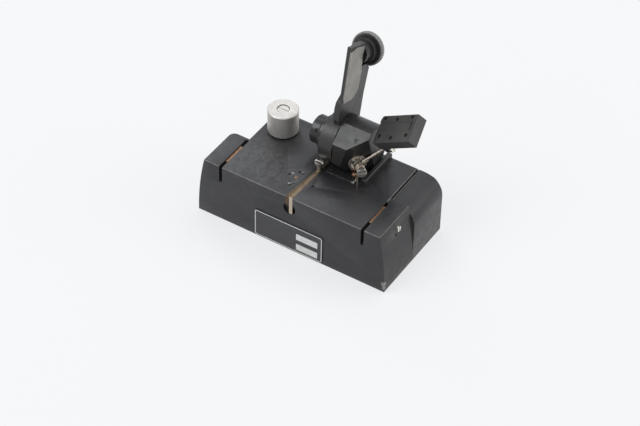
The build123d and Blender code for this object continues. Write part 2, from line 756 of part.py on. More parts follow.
# Shaft bore, blind from the lever side, and the screw that locks the shaft.
shaft_l = HEAD_X0 + SHAFT_BITE - SHAFT_X0
shaft = round_bar((SHAFT_X0, AXIS.Y, AXIS.Z), (1, 0, 0), SHAFT_R, shaft_l)
shaft = chamfer(shaft.edges().filter_by(GeomType.CIRCLE), 0.6)
tail_at = (HEAD_X0 + SHAFT_BITE, AXIS.Y, AXIS.Z)
shaft_tail = round_bar(tail_at, (1, 0, 0), SHAFT_TAIL_R, SHAFT_TAIL_L)
shaft += shaft_tail
body -= round_bar((HEAD_X0 - 1, AXIS.Y, AXIS.Z), (1, 0, 0), SHAFT_R, SHAFT_BITE + 1)
body -= shaft_tail
lock_foot = AXIS + Vector(SHAFT_SCREW_X, 0, 0) + flat_dir * SHAFT_TAIL_R
lock_reach = HEAD_R - FLAT_DEEP - SHAFT_TAIL_R
body -= round_bar(lock_foot - flat_dir, flat_dir, SET_SCREW_R, lock_reach + 4)
lock_screw_l = lock_reach - SET_SCREW_SUNK
lock_top = lock_foot + flat_dir * lock_screw_l
lock_screw = round_bar(lock_foot, flat_dir, SET_SCREW_R, lock_screw_l)
lock_screw -= Plane(origin=lock_top, z_dir=flat_dir) * Box(SET_SCREW_R * 3, 0.5, 1.6)

# Screws from the hollow of the base up into the body.
head_screws = []
for hx in (HEAD_X0 + HEAD_SCREW_INSET, FOOT_PLATE_X1 - HEAD_SCREW_INSET):
    seat = Vector(hx, AXIS.Y, CAVITY_TOP)
    reach = plate_z1 - CAVITY_TOP + HEAD_SCREW_BITE
    shank = round_bar(seat, (0, 0, 1), HEAD_SCREW_R, reach)
    casting -= shank
    foot_plate -= shank
    body -= shank
    cap = round_bar(
        seat - Vector(0, 0, HEAD_SCREW_HEAD_H), (0, 0, 1), HEAD_SCREW_HEAD_R, HEAD_SCREW_HEAD_H
    )
    socket = Plane(origin=seat - Vector(0, 0, HEAD_SCREW_HEAD_H), z_dir=(0, 0, 1)) * extrude(
        RegularPolygon(HEAD_SCREW_R * 0.95, 6), amount=HEAD_SCREW_HEAD_H * 0.5
    )
    head_screws.append(shank + cap - socket)

# ---------------------------------------------------------------- collar and ring on the shaft
collar = round_bar((COLLAR_X0, AXIS.Y, AXIS.Z), (1, 0, 0), COLLAR_R, COLLAR_W)
collar = chamfer(collar.edges().filter_by(GeomType.CIRCLE), COLLAR_EDGE)
collar -= round_bar((COLLAR_X0 - 1, AXIS.Y, AXIS.Z), (1, 0, 0), SHAFT_R, COLLAR_W + 2)
collar_turn = math.radians(COLLAR_SCREW_TURN)
collar_dir = Vector(0, -math.cos(collar_turn), math.sin(collar_turn))
collar_foot = Vector(COLLAR_X0 + COLLAR_SCREW_AT, AXIS.Y, AXIS.Z) + collar_dir * SHAFT_R
collar -= round_bar(collar_foot - collar_dir, collar_dir, SET_SCREW_R, COLLAR_R)
collar_screw_l = COLLAR_R - SHAFT_R - SET_SCREW_SUNK
collar_screw = round_bar(collar_foot, collar_dir, SET_SCREW_R, collar_screw_l)
collar_screw_top = collar_foot + collar_dir * collar_screw_l
collar_screw -= Plane(origin=collar_screw_top, z_dir=collar_dir) * Box(SET_SCREW_R * 3, 0.5, 1.6)
ring_x0 = LEVER_X0 - SIDE_PLAY - RING_W
ring = round_bar((ring_x0, AXIS.Y, AXIS.Z), (1, 0, 0), RING_R, RING_W)
ring = chamfer(ring.edges().filter_by(GeomType.CIRCLE), COLLAR_EDGE * 0.6)
ring -= round_bar((ring_x0 - 1, AXIS.Y, AXIS.Z), (1, 0, 0), SHAFT_R, RING_W + 2)

# ---------------------------------------------------------------- lever
outline = [
    (0, LEVER_ROOT[0][1]),
    *LEVER_ROOT,
    (LEVER_EDGE_S, LEVER_EDGE_D),
    (LEVER_TOP_S, LEVER_TOP_D),
    (LEVER_TOP_REAR_S, LEVER_NOTCH_D),
    (LEVER_NOTCH_S, LEVER_NOTCH_D),
    (LEVER_NOTCH_S, LEVER_LIP_D),
    (LEVER_LIP_S, LEVER_LIP_D),
    (LEVER_LIP_S, LEVER_REAR_D),
    (LEVER_REAR_S, LEVER_REAR_D),
    (LEVER_HUB_R * 0.8, LEVER_REAR_D + ROOT_WIDEN),
    (0, LEVER_HUB_R),
]
lever_back_x = LEVER_FACE_X - LEVER_T
arm = lever_prism(outline, lever_back_x, LEVER_FACE_X)
edge_x = LEVER_FACE_X - LEVER_EDGE_T
over = 1.0
bevel_in = edge_x - lever_back_x + over
bevel_out = LEVER_TOP_D - LEVER_EDGE_T
bevel_section = Polygon(
    (0, bevel_out),
    (bevel_in, bevel_out),
    (bevel_in, LEVER_EDGE_D),
    (over, LEVER_BEVEL_D),
    (0, LEVER_BEVEL_D),
    align=None,
)
run_in = LEVER_BEVEL_D - LEVER_ROOT[-2][1]
bevel_start = Plane(
    origin=lever_point(lever_back_x - over, LEVER_BEVEL_S0, -run_in), x_dir=(1, 0, 0), z_dir=ALONG
)
run_in_dir = ALONG * (LEVER_BEVEL_S1 - LEVER_BEVEL_S0) + ACROSS * run_in
bevel_plane = Plane(
    origin=lever_point(lever_back_x - over, LEVER_BEVEL_S1, 0), x_dir=(1, 0, 0), z_dir=ALONG
)
bevel_run_in = extrude(
    bevel_start * bevel_section, amount=run_in_dir.length, dir=run_in_dir.normalized()
)
bevel = extrude(bevel_plane * bevel_section, amount=LEVER_TOP_S, dir=ALONG)
arm_cut = arm - bevel_run_in - bevel
lever = arm_cut + round_bar((LEVER_X0, AXIS.Y, AXIS.Z), (1, 0, 0), LEVER_HUB_R, LEVER_HUB_W)
bush_r = SHAFT_R + RUN_GAP + BUSH_WALL
lever -= round_bar((LEVER_X0 - 1, AXIS.Y, AXIS.Z), (1, 0, 0), bush_r, LEVER_HUB_W + 2)
bush = round_bar((LEVER_X0, AXIS.Y, AXIS.Z), (1, 0, 0), bush_r, LEVER_HUB_W)
bush -= round_bar((LEVER_X0 - 1, AXIS.Y, AXIS.Z), (1, 0, 0), SHAFT_R + RUN_GAP, LEVER_HUB_W + 2)

cutter = lever_prism(
    [
        (CUTTER_S0, CUTTER_LOW_D),
        (CUTTER_S1, CUTTER_HIGH_D),
        (CUTTER_TOP_S, CUTTER_TOP_D),
        (CUTTER_REAR_TOP_S, CUTTER_REAR_TOP_D),
        (CUTTER_STEP_S, CUTTER_REAR_D),
        (CUTTER_STEP_S - CUTTER_SWELL, CUTTER_REAR_D + CUTTER_SWELL * 0.8),
        (CUTTER_FOOT_S, CUTTER_REAR_D + CUTTER_SWELL),
        *CUTTER_CURVE,
    ],
    LEVER_FACE_X,
    LEVER_FACE_X + CUTTER_T,
)
cutter_screws = []
for s in CUTTER_SCREW_S:
    at = lever_point(lever_back_x, s, CUTTER_SCREW_D)
    long = LEVER_T + CUTTER_T * 0.7
    hole = flat_screw_hole(at, (-1, 0, 0), CUTTER_SCREW_HEAD_R, CUTTER_SCREW_R, long)
    lever -= hole
    cutter -= hole
    cutter_screws.append(
        flat_screw(at, (-1, 0, 0), CUTTER_SCREW_HEAD_R, CUTTER_SCREW_R, long)
    )

# ---------------------------------------------------------------- palm knob on the back of the lever
boss_at = lever_point(KNOB_X, KNOB_S, LEVER_NOTCH_D)
knob_boss = round_bar(boss_at, ACROSS, BOSS_R, BOSS_L)
flange_at = boss_at + ACROSS * (BOSS_L - BOSS_FLANGE_L)
knob_boss += round_bar(flange_at, ACROSS, BOSS_FLANGE_R, BOSS_FLANGE_L)
knob_low = boss_at + ACROSS * (BOSS_L + KNOB_GAP)
knob = round_bar(knob_low, ACROSS, KNOB_R, KNOB_T)
knob = chamfer(knob.edges().filter_by(GeomType.CIRCLE), 0.5)
knob_plane = Plane(origin=knob_low, x_dir=(1, 0, 0), z_dir=ACROSS)
flutes = PolarLocations(KNOB_R, KNOB_FLUTES) * Cylinder(KNOB_FLUTE_R, KNOB_T * 3)
knob -= knob_plane * Compound(children=list(flutes))
knob_top = knob_low + ACROSS * KNOB_T
knob -= round_bar(knob_top - ACROSS * KNOB_DISH_DEEP, ACROSS, KNOB_DISH_R, KNOB_DISH_DEEP + 1)
stem_gap = KNOB_SCREW_R + RUN_GAP
knob -= round_bar(knob_low - ACROSS, ACROSS, stem_gap, KNOB_T + 3)
knob_screw_l = KNOB_SCREW_BITE + BOSS_L + KNOB_GAP + KNOB_T - KNOB_DISH_DEEP + KNOB_GAP * 0.5
knob_screw_foot = boss_at - ACROSS * KNOB_SCREW_BITE
knob_shank = round_bar(knob_screw_foot, ACROSS, KNOB_SCREW_R, knob_screw_l)
lever -= knob_shank
knob_boss -= knob_shank
knob_screw_top = knob_screw_foot + ACROSS * (knob_screw_l + KNOB_SCREW_HEAD_H)
knob_screw = knob_shank + slotted_head(
    knob_screw_top, ACROSS, KNOB_SCREW_HEAD_R, KNOB_SCREW_HEAD_H
)
boss_screw_dir = (ALONG * -0.35 + Vector(0.94, 0, 0)).normalized()
boss_screw_foot = boss_at + ACROSS * ((BOSS_L - BOSS_FLANGE_L) * 0.5) + boss_screw_dir * KNOB_SCREW_R
boss_screw_l = BOSS_R - KNOB_SCREW_R - SET_SCREW_SUNK
knob_boss -= round_bar(boss_screw_foot, boss_screw_dir, BOSS_SCREW_R, BOSS_R)
boss_screw = round_bar(boss_screw_foot, boss_screw_dir, BOSS_SCREW_R, boss_screw_l)
boss_screw_top = boss_screw_foot + boss_screw_dir * boss_screw_l
boss_screw -= Plane(origin=boss_screw_top, z_dir=boss_screw_dir) * Box(BOSS_SCREW_R * 3, 0.5, 1.4)

# ---------------------------------------------------------------- pivot of the splice pad
pivot_turn = math.radians(PIVOT_TURN)
pivot_rise = math.radians(PIVOT_RISE)
PIVOT = Vector(PIVOT_X, FRONT + PIVOT_Y, PIVOT_Z)
SWING = Vector(
    math.cos(pivot_turn) * math.cos(pivot_rise),
    -math.sin(pivot_turn) * math.cos(pivot_rise),
    math.sin(pivot_rise),
)
SIDE = Vector(math.sin(pivot_turn), math.cos(pivot_turn), 0)
LIFT = SWING.cross(SIDE)
cup_back = PIVOT + SWING * (CUP_FRONT - CUP_DEEP)
spring_cup = round_bar(cup_back, SWING, CUP_R, CUP_DEEP)
body -= round_bar(cup_back, SWING, CUP_R, CUP_DEEP + CUP_CLEAR)
pivot_foot = PIVOT - SWING * PIVOT_ROOT
pivot_shank = round_bar(pivot_foot, SWING, PIVOT_R, PIVOT_ROOT + PIVOT_HEAD_AT)
body -= pivot_shank
spring_cup -= pivot_shank
spring_cup -= round_bar(
    cup_back + SWING * CUP_WALL, SWING, CUP_R - CUP_WALL, CUP_DEEP
)
pivot_head_top = PIVOT + SWING * (PIVOT_HEAD_AT + PIVOT_HEAD_H)
pivot_screw = pivot_shank + slotted_head(pivot_head_top, SWING, PIVOT_HEAD_R, PIVOT_HEAD_H)
cup_sleeve = round_bar(
    cup_back + SWING * CUP_WALL, SWING, STAY_EYE_R - 0.4, CUP_DEEP - CUP_WALL + 0.1
)
spring_cup += cup_sleeve - pivot_shank
stay_dir = SIDE * math.cos(math.radians(STAY_RISE)) + LIFT * math.sin(math.radians(STAY_RISE))
eye = round_bar(PIVOT - SWING * STAY_EYE_T / 2, SWING, STAY_EYE_R, STAY_EYE_T)
stay = eye + round_bar(PIVOT, stay_dir, STAY_R, STAY_L)
stay -= round_bar(PIVOT - SWING * STAY_EYE_T, SWING, PIVOT_R + RUN_GAP, STAY_EYE_T * 2)
stud_at = PIVOT + SIDE * STUD_SIDE - LIFT * STUD_DROP
ball_stud = round_bar(stud_at - SWING * STUD_L, SWING, STUD_R * 0.6, STUD_L)
ball_stud += Pos(*stud_at) * Sphere(STUD_R)
body -= round_bar(stud_at - SWING * STUD_L, SWING, STUD_R * 0.6, STUD_L * 3)


def spiral_point(angle):
    """A point of the torsion spring at an angle about the pivot axis."""
    return (
        PIVOT
        + SWING * (COIL_START + COIL_PITCH * (angle - COIL_A0) / (2 * math.pi))
        + SIDE * (COIL_R * math.cos(angle))
        + LIFT * (COIL_R * math.sin(angle))
    )


def spiral_dir(angle):
    """The direction of the spring wire at the same angle."""
    rise = COIL_PITCH / (2 * math.pi)
    along = SWING * rise + SIDE * (-COIL_R * math.sin(angle)) + LIFT * (COIL_R * math.cos(angle))
    return along.normalized()


def biarc(p0, t0, p1, t1):
    """Two arcs that join two points and keep both end directions."""
    v = p1 - p0
    t = t0 + t1
    q = 2 * (1 - t0.dot(t1))
    d = (-v.dot(t) + math.sqrt(v.dot(t) ** 2 + q * v.dot(v))) / q
    joint = (p0 + p1 + (t0 - t1) * d) * 0.5
    first = Edge.make_tangent_arc(p0, t0, joint)
    second = Edge.make_tangent_arc(joint, first.tangent_at(1), p1)
    return [first, second]


# The wire comes along the stay, winds towards the screw head and drops into the base.
COIL_A0 = math.radians(90.0 + STAY_RISE - LEG_CROSS)
coil_a1 = math.pi + 2 * math.pi * COIL_TURNS
count = int(round((coil_a1 - COIL_A0) / (math.pi / 2)))
step = (coil_a1 - COIL_A0) / count
tail_start = spiral_point(coil_a1)
tail_dir = spiral_dir(coil_a1)
tail_l = (tail_start.Z - BASE_TOP + WIRE_SUNK) / -tail_dir.Z
lead_dir = spiral_dir(COIL_A0)
lead_tip = spiral_point(COIL_A0) - lead_dir * LEG_L
wire = [Edge.make_line(lead_tip, spiral_point(COIL_A0))]
for i in range(count):
    a0 = COIL_A0 + i * step
    a1 = a0 + step
    wire += biarc(spiral_point(a0), spiral_dir(a0), spiral_point(a1), spiral_dir(a1))
wire.append(Edge.make_line(tail_start, tail_start + tail_dir * tail_l))
spring_section = Plane(origin=lead_tip, z_dir=lead_dir) * Circle(WIRE_R)
torsion_spring = sweep(spring_section, path=Wire(wire))
wire_hole = round_bar(tail_start, tail_dir, WIRE_R + WIRE_GAP, tail_l + WIRE_GAP)
casting -= wire_hole
foot_plate -= wire_hole
coil_points = [
    spiral_point(COIL_A0 + (coil_a1 - COIL_A0) * k / 400) for k in range(401)
]
per_turn = int(400 * 2 * math.pi / (coil_a1 - COIL_A0))
least = min(
    (coil_points[i] - coil_points[j]).length
    for i in range(401)
    for j in range(i + per_turn // 2, 401)
)
print("torsion spring least gap to itself", round(least - 2 * WIRE_R, 3))

# ---------------------------------------------------------------- splice pad
pad_turn = math.radians(PAD_NORMAL_TURN)
pad_rise = math.radians(PAD_NORMAL_RISE)
PAD_UP = Vector(
    -math.sin(pad_turn) * math.cos(pad_rise),
    -math.cos(pad_turn) * math.cos(pad_rise),
    math.sin(pad_rise),
)
level = Vector(math.cos(pad_turn), -math.sin(pad_turn), 0)
slope = PAD_UP.cross(level)
spin = math.radians(PAD_SPIN)
PAD_U = level * math.cos(spin) + slope * math.sin(spin)
PAD_V = PAD_UP.cross(PAD_U)
pad_corner = Vector(PAD_CORNER_X, FRONT + PAD_CORNER_Y, PAD_CORNER_Z)
pad_plane = Plane(origin=pad_corner, x_dir=PAD_U, z_dir=PAD_UP)
print("pad u", PAD_U, "v", PAD_V, "up", PAD_UP)


def on_pad(u, v, w):
    """A point of the pad: u along it, v across it, w below its face."""
    return pad_corner + PAD_U * u + PAD_V * v - PAD_UP * w


pad_outline = Polygon(
    (0, 0),
    (PAD_L, 0),
    (PAD_L, PAD_W),
    (PAD_CUT_U, PAD_W),
    (0, PAD_W - PAD_CUT_V),
    align=None,
)
pad_face = pad_plane * Pos(0, 0, -PAD_FACE_T) * extrude(pad_outline, amount=PAD_FACE_T)
bed = block(-1, BED_U, BED_V0, BED_V1, -BED_DEEP, 1)
bed = fillet(bed.edges().filter_by(Axis.Z).sort_by(Axis.X)[-2:], BED_CORNER)
pad_face -= pad_plane * bed
pad_face -= pad_plane * block(
    BED_U - BED_END_W, BED_U, BED_V0 + BED_CORNER, BED_V1 - BED_CORNER, -BED_END_DEEP, 1
)
base_blank = extrude(pad_outline, amount=PAD_T - PAD_FACE_T)
pad_base = pad_plane * Pos(0, 0, -PAD_T) * base_blank
pad_holes = [(hu, hv) for hu in PAD_OUTER_U for hv in PAD_OUTER_V]
pad_holes += [(PAD_MIDDLE_U, hv) for hv in PAD_MIDDLE_V]
pad_screws = []
for hu, hv in pad_holes:
    top = on_pad(hu, hv, PAD_SCREW_SUNK)
    open_top = round_bar(top, PAD_UP, PAD_SCREW_HEAD_R, PAD_SCREW_SUNK + 1)
    hole = flat_screw_hole(top, PAD_UP, PAD_SCREW_HEAD_R, PAD_SCREW_R, PAD_SCREW_L)
    pad_face -= hole + open_top
    pad_base -= hole
    pad_screws.append(flat_screw(top, PAD_UP, PAD_SCREW_HEAD_R, PAD_SCREW_R, PAD_SCREW_L))

# Clamp block under the pad; the stay passes through it and a screw grips the stay.
clamp = pad_plane * block(
    CLAMP_U, CLAMP_U + CLAMP_L, CLAMP_V, CLAMP_V + CLAMP_W, -PAD_T - CLAMP_H, -PAD_T
)
clamp -= round_bar(PIVOT, stay_dir, STAY_R, STAY_L)
clamp -= pad_plane * block(
    CLAMP_SLIT_U,
    CLAMP_SLIT_U + CLAMP_SLIT_W,
    CLAMP_V - 1,
    CLAMP_V + CLAMP_SLIT_L,
    -PAD_T - CLAMP_H - 1,
    -PAD_T - CLAMP_SLIT_W,
)
clamp_right = CLAMP_U + CLAMP_L
clamp_screw_seat = on_pad(clamp_right, CLAMP_V + CLAMP_SCREW_V, PAD_T + CLAMP_SCREW_W)
clamp_shank = round_bar(
    clamp_screw_seat - PAD_U * CLAMP_SCREW_L, PAD_U, CLAMP_SCREW_R, CLAMP_SCREW_L
)
clamp -= clamp_shank
clamp_screw = clamp_shank + slotted_head(
    clamp_screw_seat + PAD_U * CLAMP_SCREW_HEAD_H, PAD_U, CLAMP_SCREW_HEAD_R, CLAMP_SCREW_HEAD_H
)

# ---------------------------------------------------------------- rest rail
rail_y0 = FRONT + RAIL_Y0
rail_y1 = REAR - RAIL_REAR_INSET
rail = block(
    RAIL_X0,
    RAIL_X0 + RAIL_W,
    rail_y0,
    rail_y1,
    BASE_TOP,
    BASE_TOP + RAIL_H,
)
rail_top = rail.faces().sort_by(Axis.Z)[-1].edges()
rail = fillet(rail_top, RAIL_ROUND)
rail_screws = []
for ry in (rail_y0 + RAIL_SCREW_INSET, rail_y1 - RAIL_SCREW_INSET):
    seat = Vector(RAIL_X0 + RAIL_W / 2, ry, CAVITY_TOP)
    shank = round_bar(seat, (0, 0, 1), RAIL_SCREW_R, BASE_TOP - CAVITY_TOP + RAIL_SCREW_BITE)
    rail -= shank
    casting -= shank
    head_top = seat - Vector(0, 0, RAIL_SCREW_HEAD_H)
    head = slotted_head(head_top, (0, 0, -1), RAIL_SCREW_R * 1.9, RAIL_SCREW_HEAD_H)
    rail_screws.append(shank + head)

# ---------------------------------------------------------------- cover and mat underneath
ledge_gap = COVER_LEDGE - COVER_GAP
cover = block(
    CAVITY_X0 - ledge_gap,
    CAVITY_X1 + ledge_gap,
    FRONT + CAVITY_WALL - ledge_gap,
    REAR - CAVITY_WALL + ledge_gap,
    BOTTOM,
    BOTTOM + COVER_T,
)
cover_head_r = COVER_SCREW_R + COVER_T * 0.8
cover_screws = []
for bx, by in boss_places:
    at = (bx, by, BOTTOM)
    length = COVER_SCREW_L
    cover -= flat_screw_hole(at, (0, 0, -1), cover_head_r, COVER_SCREW_R, length)
    cover_screws.append(flat_screw(at, (0, 0, -1), cover_head_r, COVER_SCREW_R, length))
mat = block(
    MAT_INSET - half, half - MAT_INSET, FRONT + MAT_INSET, REAR - MAT_INSET, 0, BOTTOM
)
mat = fillet(mat.edges().filter_by(Axis.Z), MAT_CORNER)
for bx, by in boss_places:
    mat -= round_bar((bx, by, -1), (0, 0, 1), cover_head_r + MAT_HOLE_GAP, BOTTOM + 2)

# ---------------------------------------------------------------- nodes
save(casting, "base_casting")
save(cover, "bottom_cover")
save(group(cover_screws), "bottom_cover_screws")
save(mat, "rubber_mat")
save(name_plate, "name_plate")
save(blade, "fixed_blade")
save(wedge, "blade_wedge")
save(group(blade_screws), "fixed_blade_screws")
save(stop, "stop_post")
save(plug, "register_plug")
save(grippers[0], "film_gripper_left")
save(grippers[1], "film_gripper_right")
save(group(grip_screws), "film_gripper_screws")
save(spindle, "tape_spindle")
save(washer, "tape_washer")
save(hub, "tape_hub")
save(hub_screw, "tape_hub_screw")
save(foot_plate, "head_foot_plate")
save(group(plate_screws), "head_foot_plate_screws")
save(body, "head_body")
save(group(head_screws), "head_body_screws")
save(shaft, "lever_shaft")
save(lock_screw, "shaft_lock_screw")
save(collar, "shaft_collar")
save(collar_screw, "collar_set_screw")
save(ring, "thrust_ring")
save(lever, "lever_arm")
save(bush, "lever_bush")
save(cutter, "cutter_plate")
save(group(cutter_screws), "cutter_plate_screws")
save(knob_boss, "knob_boss")
save(boss_screw, "knob_boss_set_screw")
save(knob, "palm_knob")
save(knob_screw, "palm_knob_screw")
save(spring_cup, "spring_cup")
save(torsion_spring, "torsion_spring")
save(pivot_screw, "pivot_screw")
save(ball_stud, "ball_stud")
save(stay, "pad_stay")
save(clamp, "pad_clamp")
save(clamp_screw, "pad_clamp_screw")
save(pad_base, "pad_base")
save(pad_face, "pad_face")
save(group(pad_screws), "pad_screws")
save(rail, "rest_rail")
save(group(rail_screws), "rest_rail_screws")
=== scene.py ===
"""Bench film splicer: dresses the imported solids, adds the fine pieces and sets up the studio."""

import logging
import math
from dataclasses import dataclass, field
from enum import Enum
from typing import Optional, Sequence

import bpy
from mathutils import Matrix, Vector


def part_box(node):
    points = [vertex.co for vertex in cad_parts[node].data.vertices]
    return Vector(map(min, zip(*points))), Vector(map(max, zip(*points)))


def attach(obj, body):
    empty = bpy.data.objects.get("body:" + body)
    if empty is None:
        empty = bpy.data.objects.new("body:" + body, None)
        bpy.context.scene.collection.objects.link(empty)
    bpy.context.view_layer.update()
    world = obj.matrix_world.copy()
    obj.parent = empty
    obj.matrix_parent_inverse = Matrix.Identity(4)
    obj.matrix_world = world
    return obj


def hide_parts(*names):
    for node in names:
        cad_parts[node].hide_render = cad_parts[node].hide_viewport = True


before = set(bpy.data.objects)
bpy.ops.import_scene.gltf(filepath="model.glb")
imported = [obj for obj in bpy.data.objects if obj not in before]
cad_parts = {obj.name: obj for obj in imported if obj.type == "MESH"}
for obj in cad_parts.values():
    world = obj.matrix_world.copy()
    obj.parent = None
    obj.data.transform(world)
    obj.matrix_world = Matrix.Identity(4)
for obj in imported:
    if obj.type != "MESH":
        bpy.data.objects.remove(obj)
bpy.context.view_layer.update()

LOG = logging.getLogger("film_splicer")
MM = 0.001
BEVEL_SAMPLES = 6
SOFT_BAND = (0.6, 1.4)
CORNER_SHARE = 0.8
Colour = tuple[float, float, float]
Point = tuple[float, float, float]


def rgba(colour: Colour) -> tuple[float, float, float, float]:
    """Adds a full alpha to a colour."""
    return (colour[0], colour[1], colour[2], 1.0)


class Grain(Enum):
    """Which way the fine tooling marks of a metal run."""

    NONE = (1.0, 1.0, 1.0)
    ALONG_Y = (1.0, 0.05, 1.0)
    ALONG_Z = (1.0, 1.0, 0.05)


@dataclass(frozen=True)
class Pattern:
    """A noise pattern and the part of its range that counts as empty and as full."""

    scale: float
    detail: float
    roughness: float
    low: float
    high: float
    stretch: Point = (1.0, 1.0, 1.0)
    distortion: float = 0.0


RAGGED_EDGE = Pattern(420.0, 6.0, 0.7, 0.36, 0.60)
BROKEN_LINE = Pattern(160.0, 5.0, 0.7, 0.32, 0.5)
CHIP_CRUMBS = Pattern(1300.0, 4.0, 0.7, 0.38, 0.5)
RIM_PATCHES = Pattern(300.0, 5.0, 0.7, 0.25, 0.6)
BROAD_PATCHES = Pattern(28.0, 5.0, 0.6, 0.38, 0.66, distortion=0.4)
DUST = Pattern(2600.0, 2.0, 0.5, 0.66, 0.8)
SCUFF_STREAKS = Pattern(240.0, 6.0, 0.75, 0.4, 0.68, (1.0, 0.55, 1.0), 1.2)
GLOSS_PATCHES = Pattern(160.0, 5.0, 0.6, 0.3, 0.7)


class ShaderSheet:
    """A material's node tree, with one short method for each kind of node that is used."""

    def __init__(self, name: str) -> None:
        """Starts an empty material.

        Args:
            name: the material's name.
        """
        self.material = bpy.data.materials.new(name)
        self.material.use_nodes = True
        self.tree = self.material.node_tree
        self.tree.nodes.clear()
        self.output = self.tree.nodes.new("ShaderNodeOutputMaterial")
        self.coords = self.tree.nodes.new("ShaderNodeTexCoord").outputs["Object"]

    def link(self, source: bpy.types.NodeSocket, target: bpy.types.NodeSocket) -> None:
        """Joins two sockets."""
        self.tree.links.new(source, target)

    def stretched(self, scale: Sequence[float]) -> bpy.types.NodeSocket:
        """Object coordinates scaled by axis.

        Args:
            scale: how much each axis is scaled.

        Returns:
            The scaled coordinates.
        """
        node = self.tree.nodes.new("ShaderNodeMapping")
        node.inputs["Scale"].default_value = tuple(scale)
        self.link(self.coords, node.inputs["Vector"])
        return node.outputs["Vector"]

    def noise(
        self,
        scale: float,
        detail: float = 4.0,
        roughness: float = 0.55,
        stretch: Sequence[float] = (1.0, 1.0, 1.0),
        distortion: float = 0.0,
    ) -> bpy.types.NodeSocket:
        """A noise pattern.

        Args:
            scale: features per metre.
            detail: octaves.
            roughness: strength of the finer octaves.
            stretch: scale by axis before the noise.
            distortion: how much the pattern is warped.

        Returns:
            The pattern's value.
        """
        node = self.tree.nodes.new("ShaderNodeTexNoise")
        node.inputs["Scale"].default_value = scale
        node.inputs["Detail"].default_value = detail
        node.inputs["Roughness"].default_value = roughness
        node.inputs["Distortion"].default_value = distortion
        self.link(self.stretched(stretch), node.inputs["Vector"])
        return node.outputs["Fac"]

    def pattern(self, kind: Pattern, start: float = 0.0, end: float = 1.0) -> bpy.types.NodeSocket:
        """A noise pattern cut to its useful range.

        Args:
            kind: the pattern.
            start: the result where it is empty.
            end: the result where it is full.

        Returns:
            The pattern's mask.
        """
        value = self.noise(kind.scale, kind.detail, kind.roughness, kind.stretch, kind.distortion)
        return self.ramp(value, kind.low, kind.high, start, end)

    def spot(self, centre: Point, radius: float, edge: float = 0.35) -> bpy.types.NodeSocket:
        """A round patch about a point of the piece.

        Args:
            centre: the point.
            radius: the patch's radius in metres.
            edge: the share of the radius over which the patch fades.

        Returns:
            One inside the patch and nought outside.
        """
        node = self.tree.nodes.new("ShaderNodeVectorMath")
        node.operation = "DISTANCE"
        node.inputs[1].default_value = centre
        self.link(self.coords, node.inputs[0])
        return self.ramp(node.outputs["Value"], radius * (1.0 - edge), radius * (1.0 + edge), 1.0, 0.0)

    def band(self, axis: int, at: float, half_width: float) -> bpy.types.NodeSocket:
        """A thin band about a plane of the piece.

        Args:
            axis: which coordinate is tested.
            at: where the plane lies.
            half_width: half of the band's width.

        Returns:
            One in the band and nought outside.
        """
        node = self.tree.nodes.new("ShaderNodeSeparateXYZ")
        self.link(self.coords, node.inputs[0])
        away = self.math("SUBTRACT", node.outputs[axis], at)
        away = self.math("ABSOLUTE", away, 0.0)
        return self.ramp(away, half_width * SOFT_BAND[0], half_width * SOFT_BAND[1], 1.0, 0.0)

    def beyond(self, at: Point, axis: Point, start: float, end: float) -> bpy.types.NodeSocket:
        """The outer part of a turned piece.

        Args:
            at: a point of the piece's axis.
            axis: the axis, of length one.
            start: the distance from the axis where the mask starts.
            end: the distance where it is full.

        Returns:
            Nought near the axis and one at the rim.
        """
        away = self.tree.nodes.new("ShaderNodeVectorMath")
        away.operation = "SUBTRACT"
        away.inputs[1].default_value = at
        self.link(self.coords, away.inputs[0])
        cross = self.tree.nodes.new("ShaderNodeVectorMath")
        cross.operation = "CROSS_PRODUCT"
        cross.inputs[1].default_value = axis
        self.link(away.outputs["Vector"], cross.inputs[0])
        size = self.tree.nodes.new("ShaderNodeVectorMath")
        size.operation = "LENGTH"
        self.link(cross.outputs["Vector"], size.inputs[0])
        return self.ramp(size.outputs["Value"], start, end)

    def ramp(
        self, value: bpy.types.NodeSocket, low: float, high: float, start: float = 0.0, end: float = 1.0
    ) -> bpy.types.NodeSocket:
        """A clamped linear ramp.

        Args:
            value: the value that is mapped.
            low: where the ramp starts.
            high: where the ramp ends.
            start: the result at the start.
            end: the result at the end.

        Returns:
            The mapped value.
        """
        node = self.tree.nodes.new("ShaderNodeMapRange")
        for socket, number in zip(("From Min", "From Max", "To Min", "To Max"), (low, high, start, end)):
            node.inputs[socket].default_value = number
        self.link(value, node.inputs["Value"])
        return node.outputs["Result"]

    def math(
        self, operation: str, a: bpy.types.NodeSocket, b: bpy.types.NodeSocket | float
    ) -> bpy.types.NodeSocket:
        """Arithmetic on two values.

        Args:
            operation: the name of the operation.
            a: the first value.
            b: the second value.

        Returns:
            The result.
        """
        node = self.tree.nodes.new("ShaderNodeMath")
        node.operation = operation
        self.link(a, node.inputs[0])
        if isinstance(b, (int, float)):
            node.inputs[1].default_value = b
        else:
            self.link(b, node.inputs[1])
        return node.outputs["Value"]

    def mix(
        self,
        factor: bpy.types.NodeSocket,
        a: Colour | bpy.types.NodeSocket,
        b: Colour | bpy.types.NodeSocket,
    ) -> bpy.types.NodeSocket:
        """A blend of two colours.

        Args:
            factor: how much of the second colour shows.
            a: the first colour.
            b: the second colour.

        Returns:
            The blended colour.
        """
        node = self.tree.nodes.new("ShaderNodeMix")
        node.data_type = "RGBA"
        self.link(factor, node.inputs["Factor"])
        sockets = [s for s in node.inputs if s.type == "RGBA"]
        for socket, colour in zip(sockets, (a, b)):
            if isinstance(colour, tuple):
                socket.default_value = rgba(colour)
            else:
                self.link(colour, socket)
        return [s for s in node.outputs if s.type == "RGBA"][0]

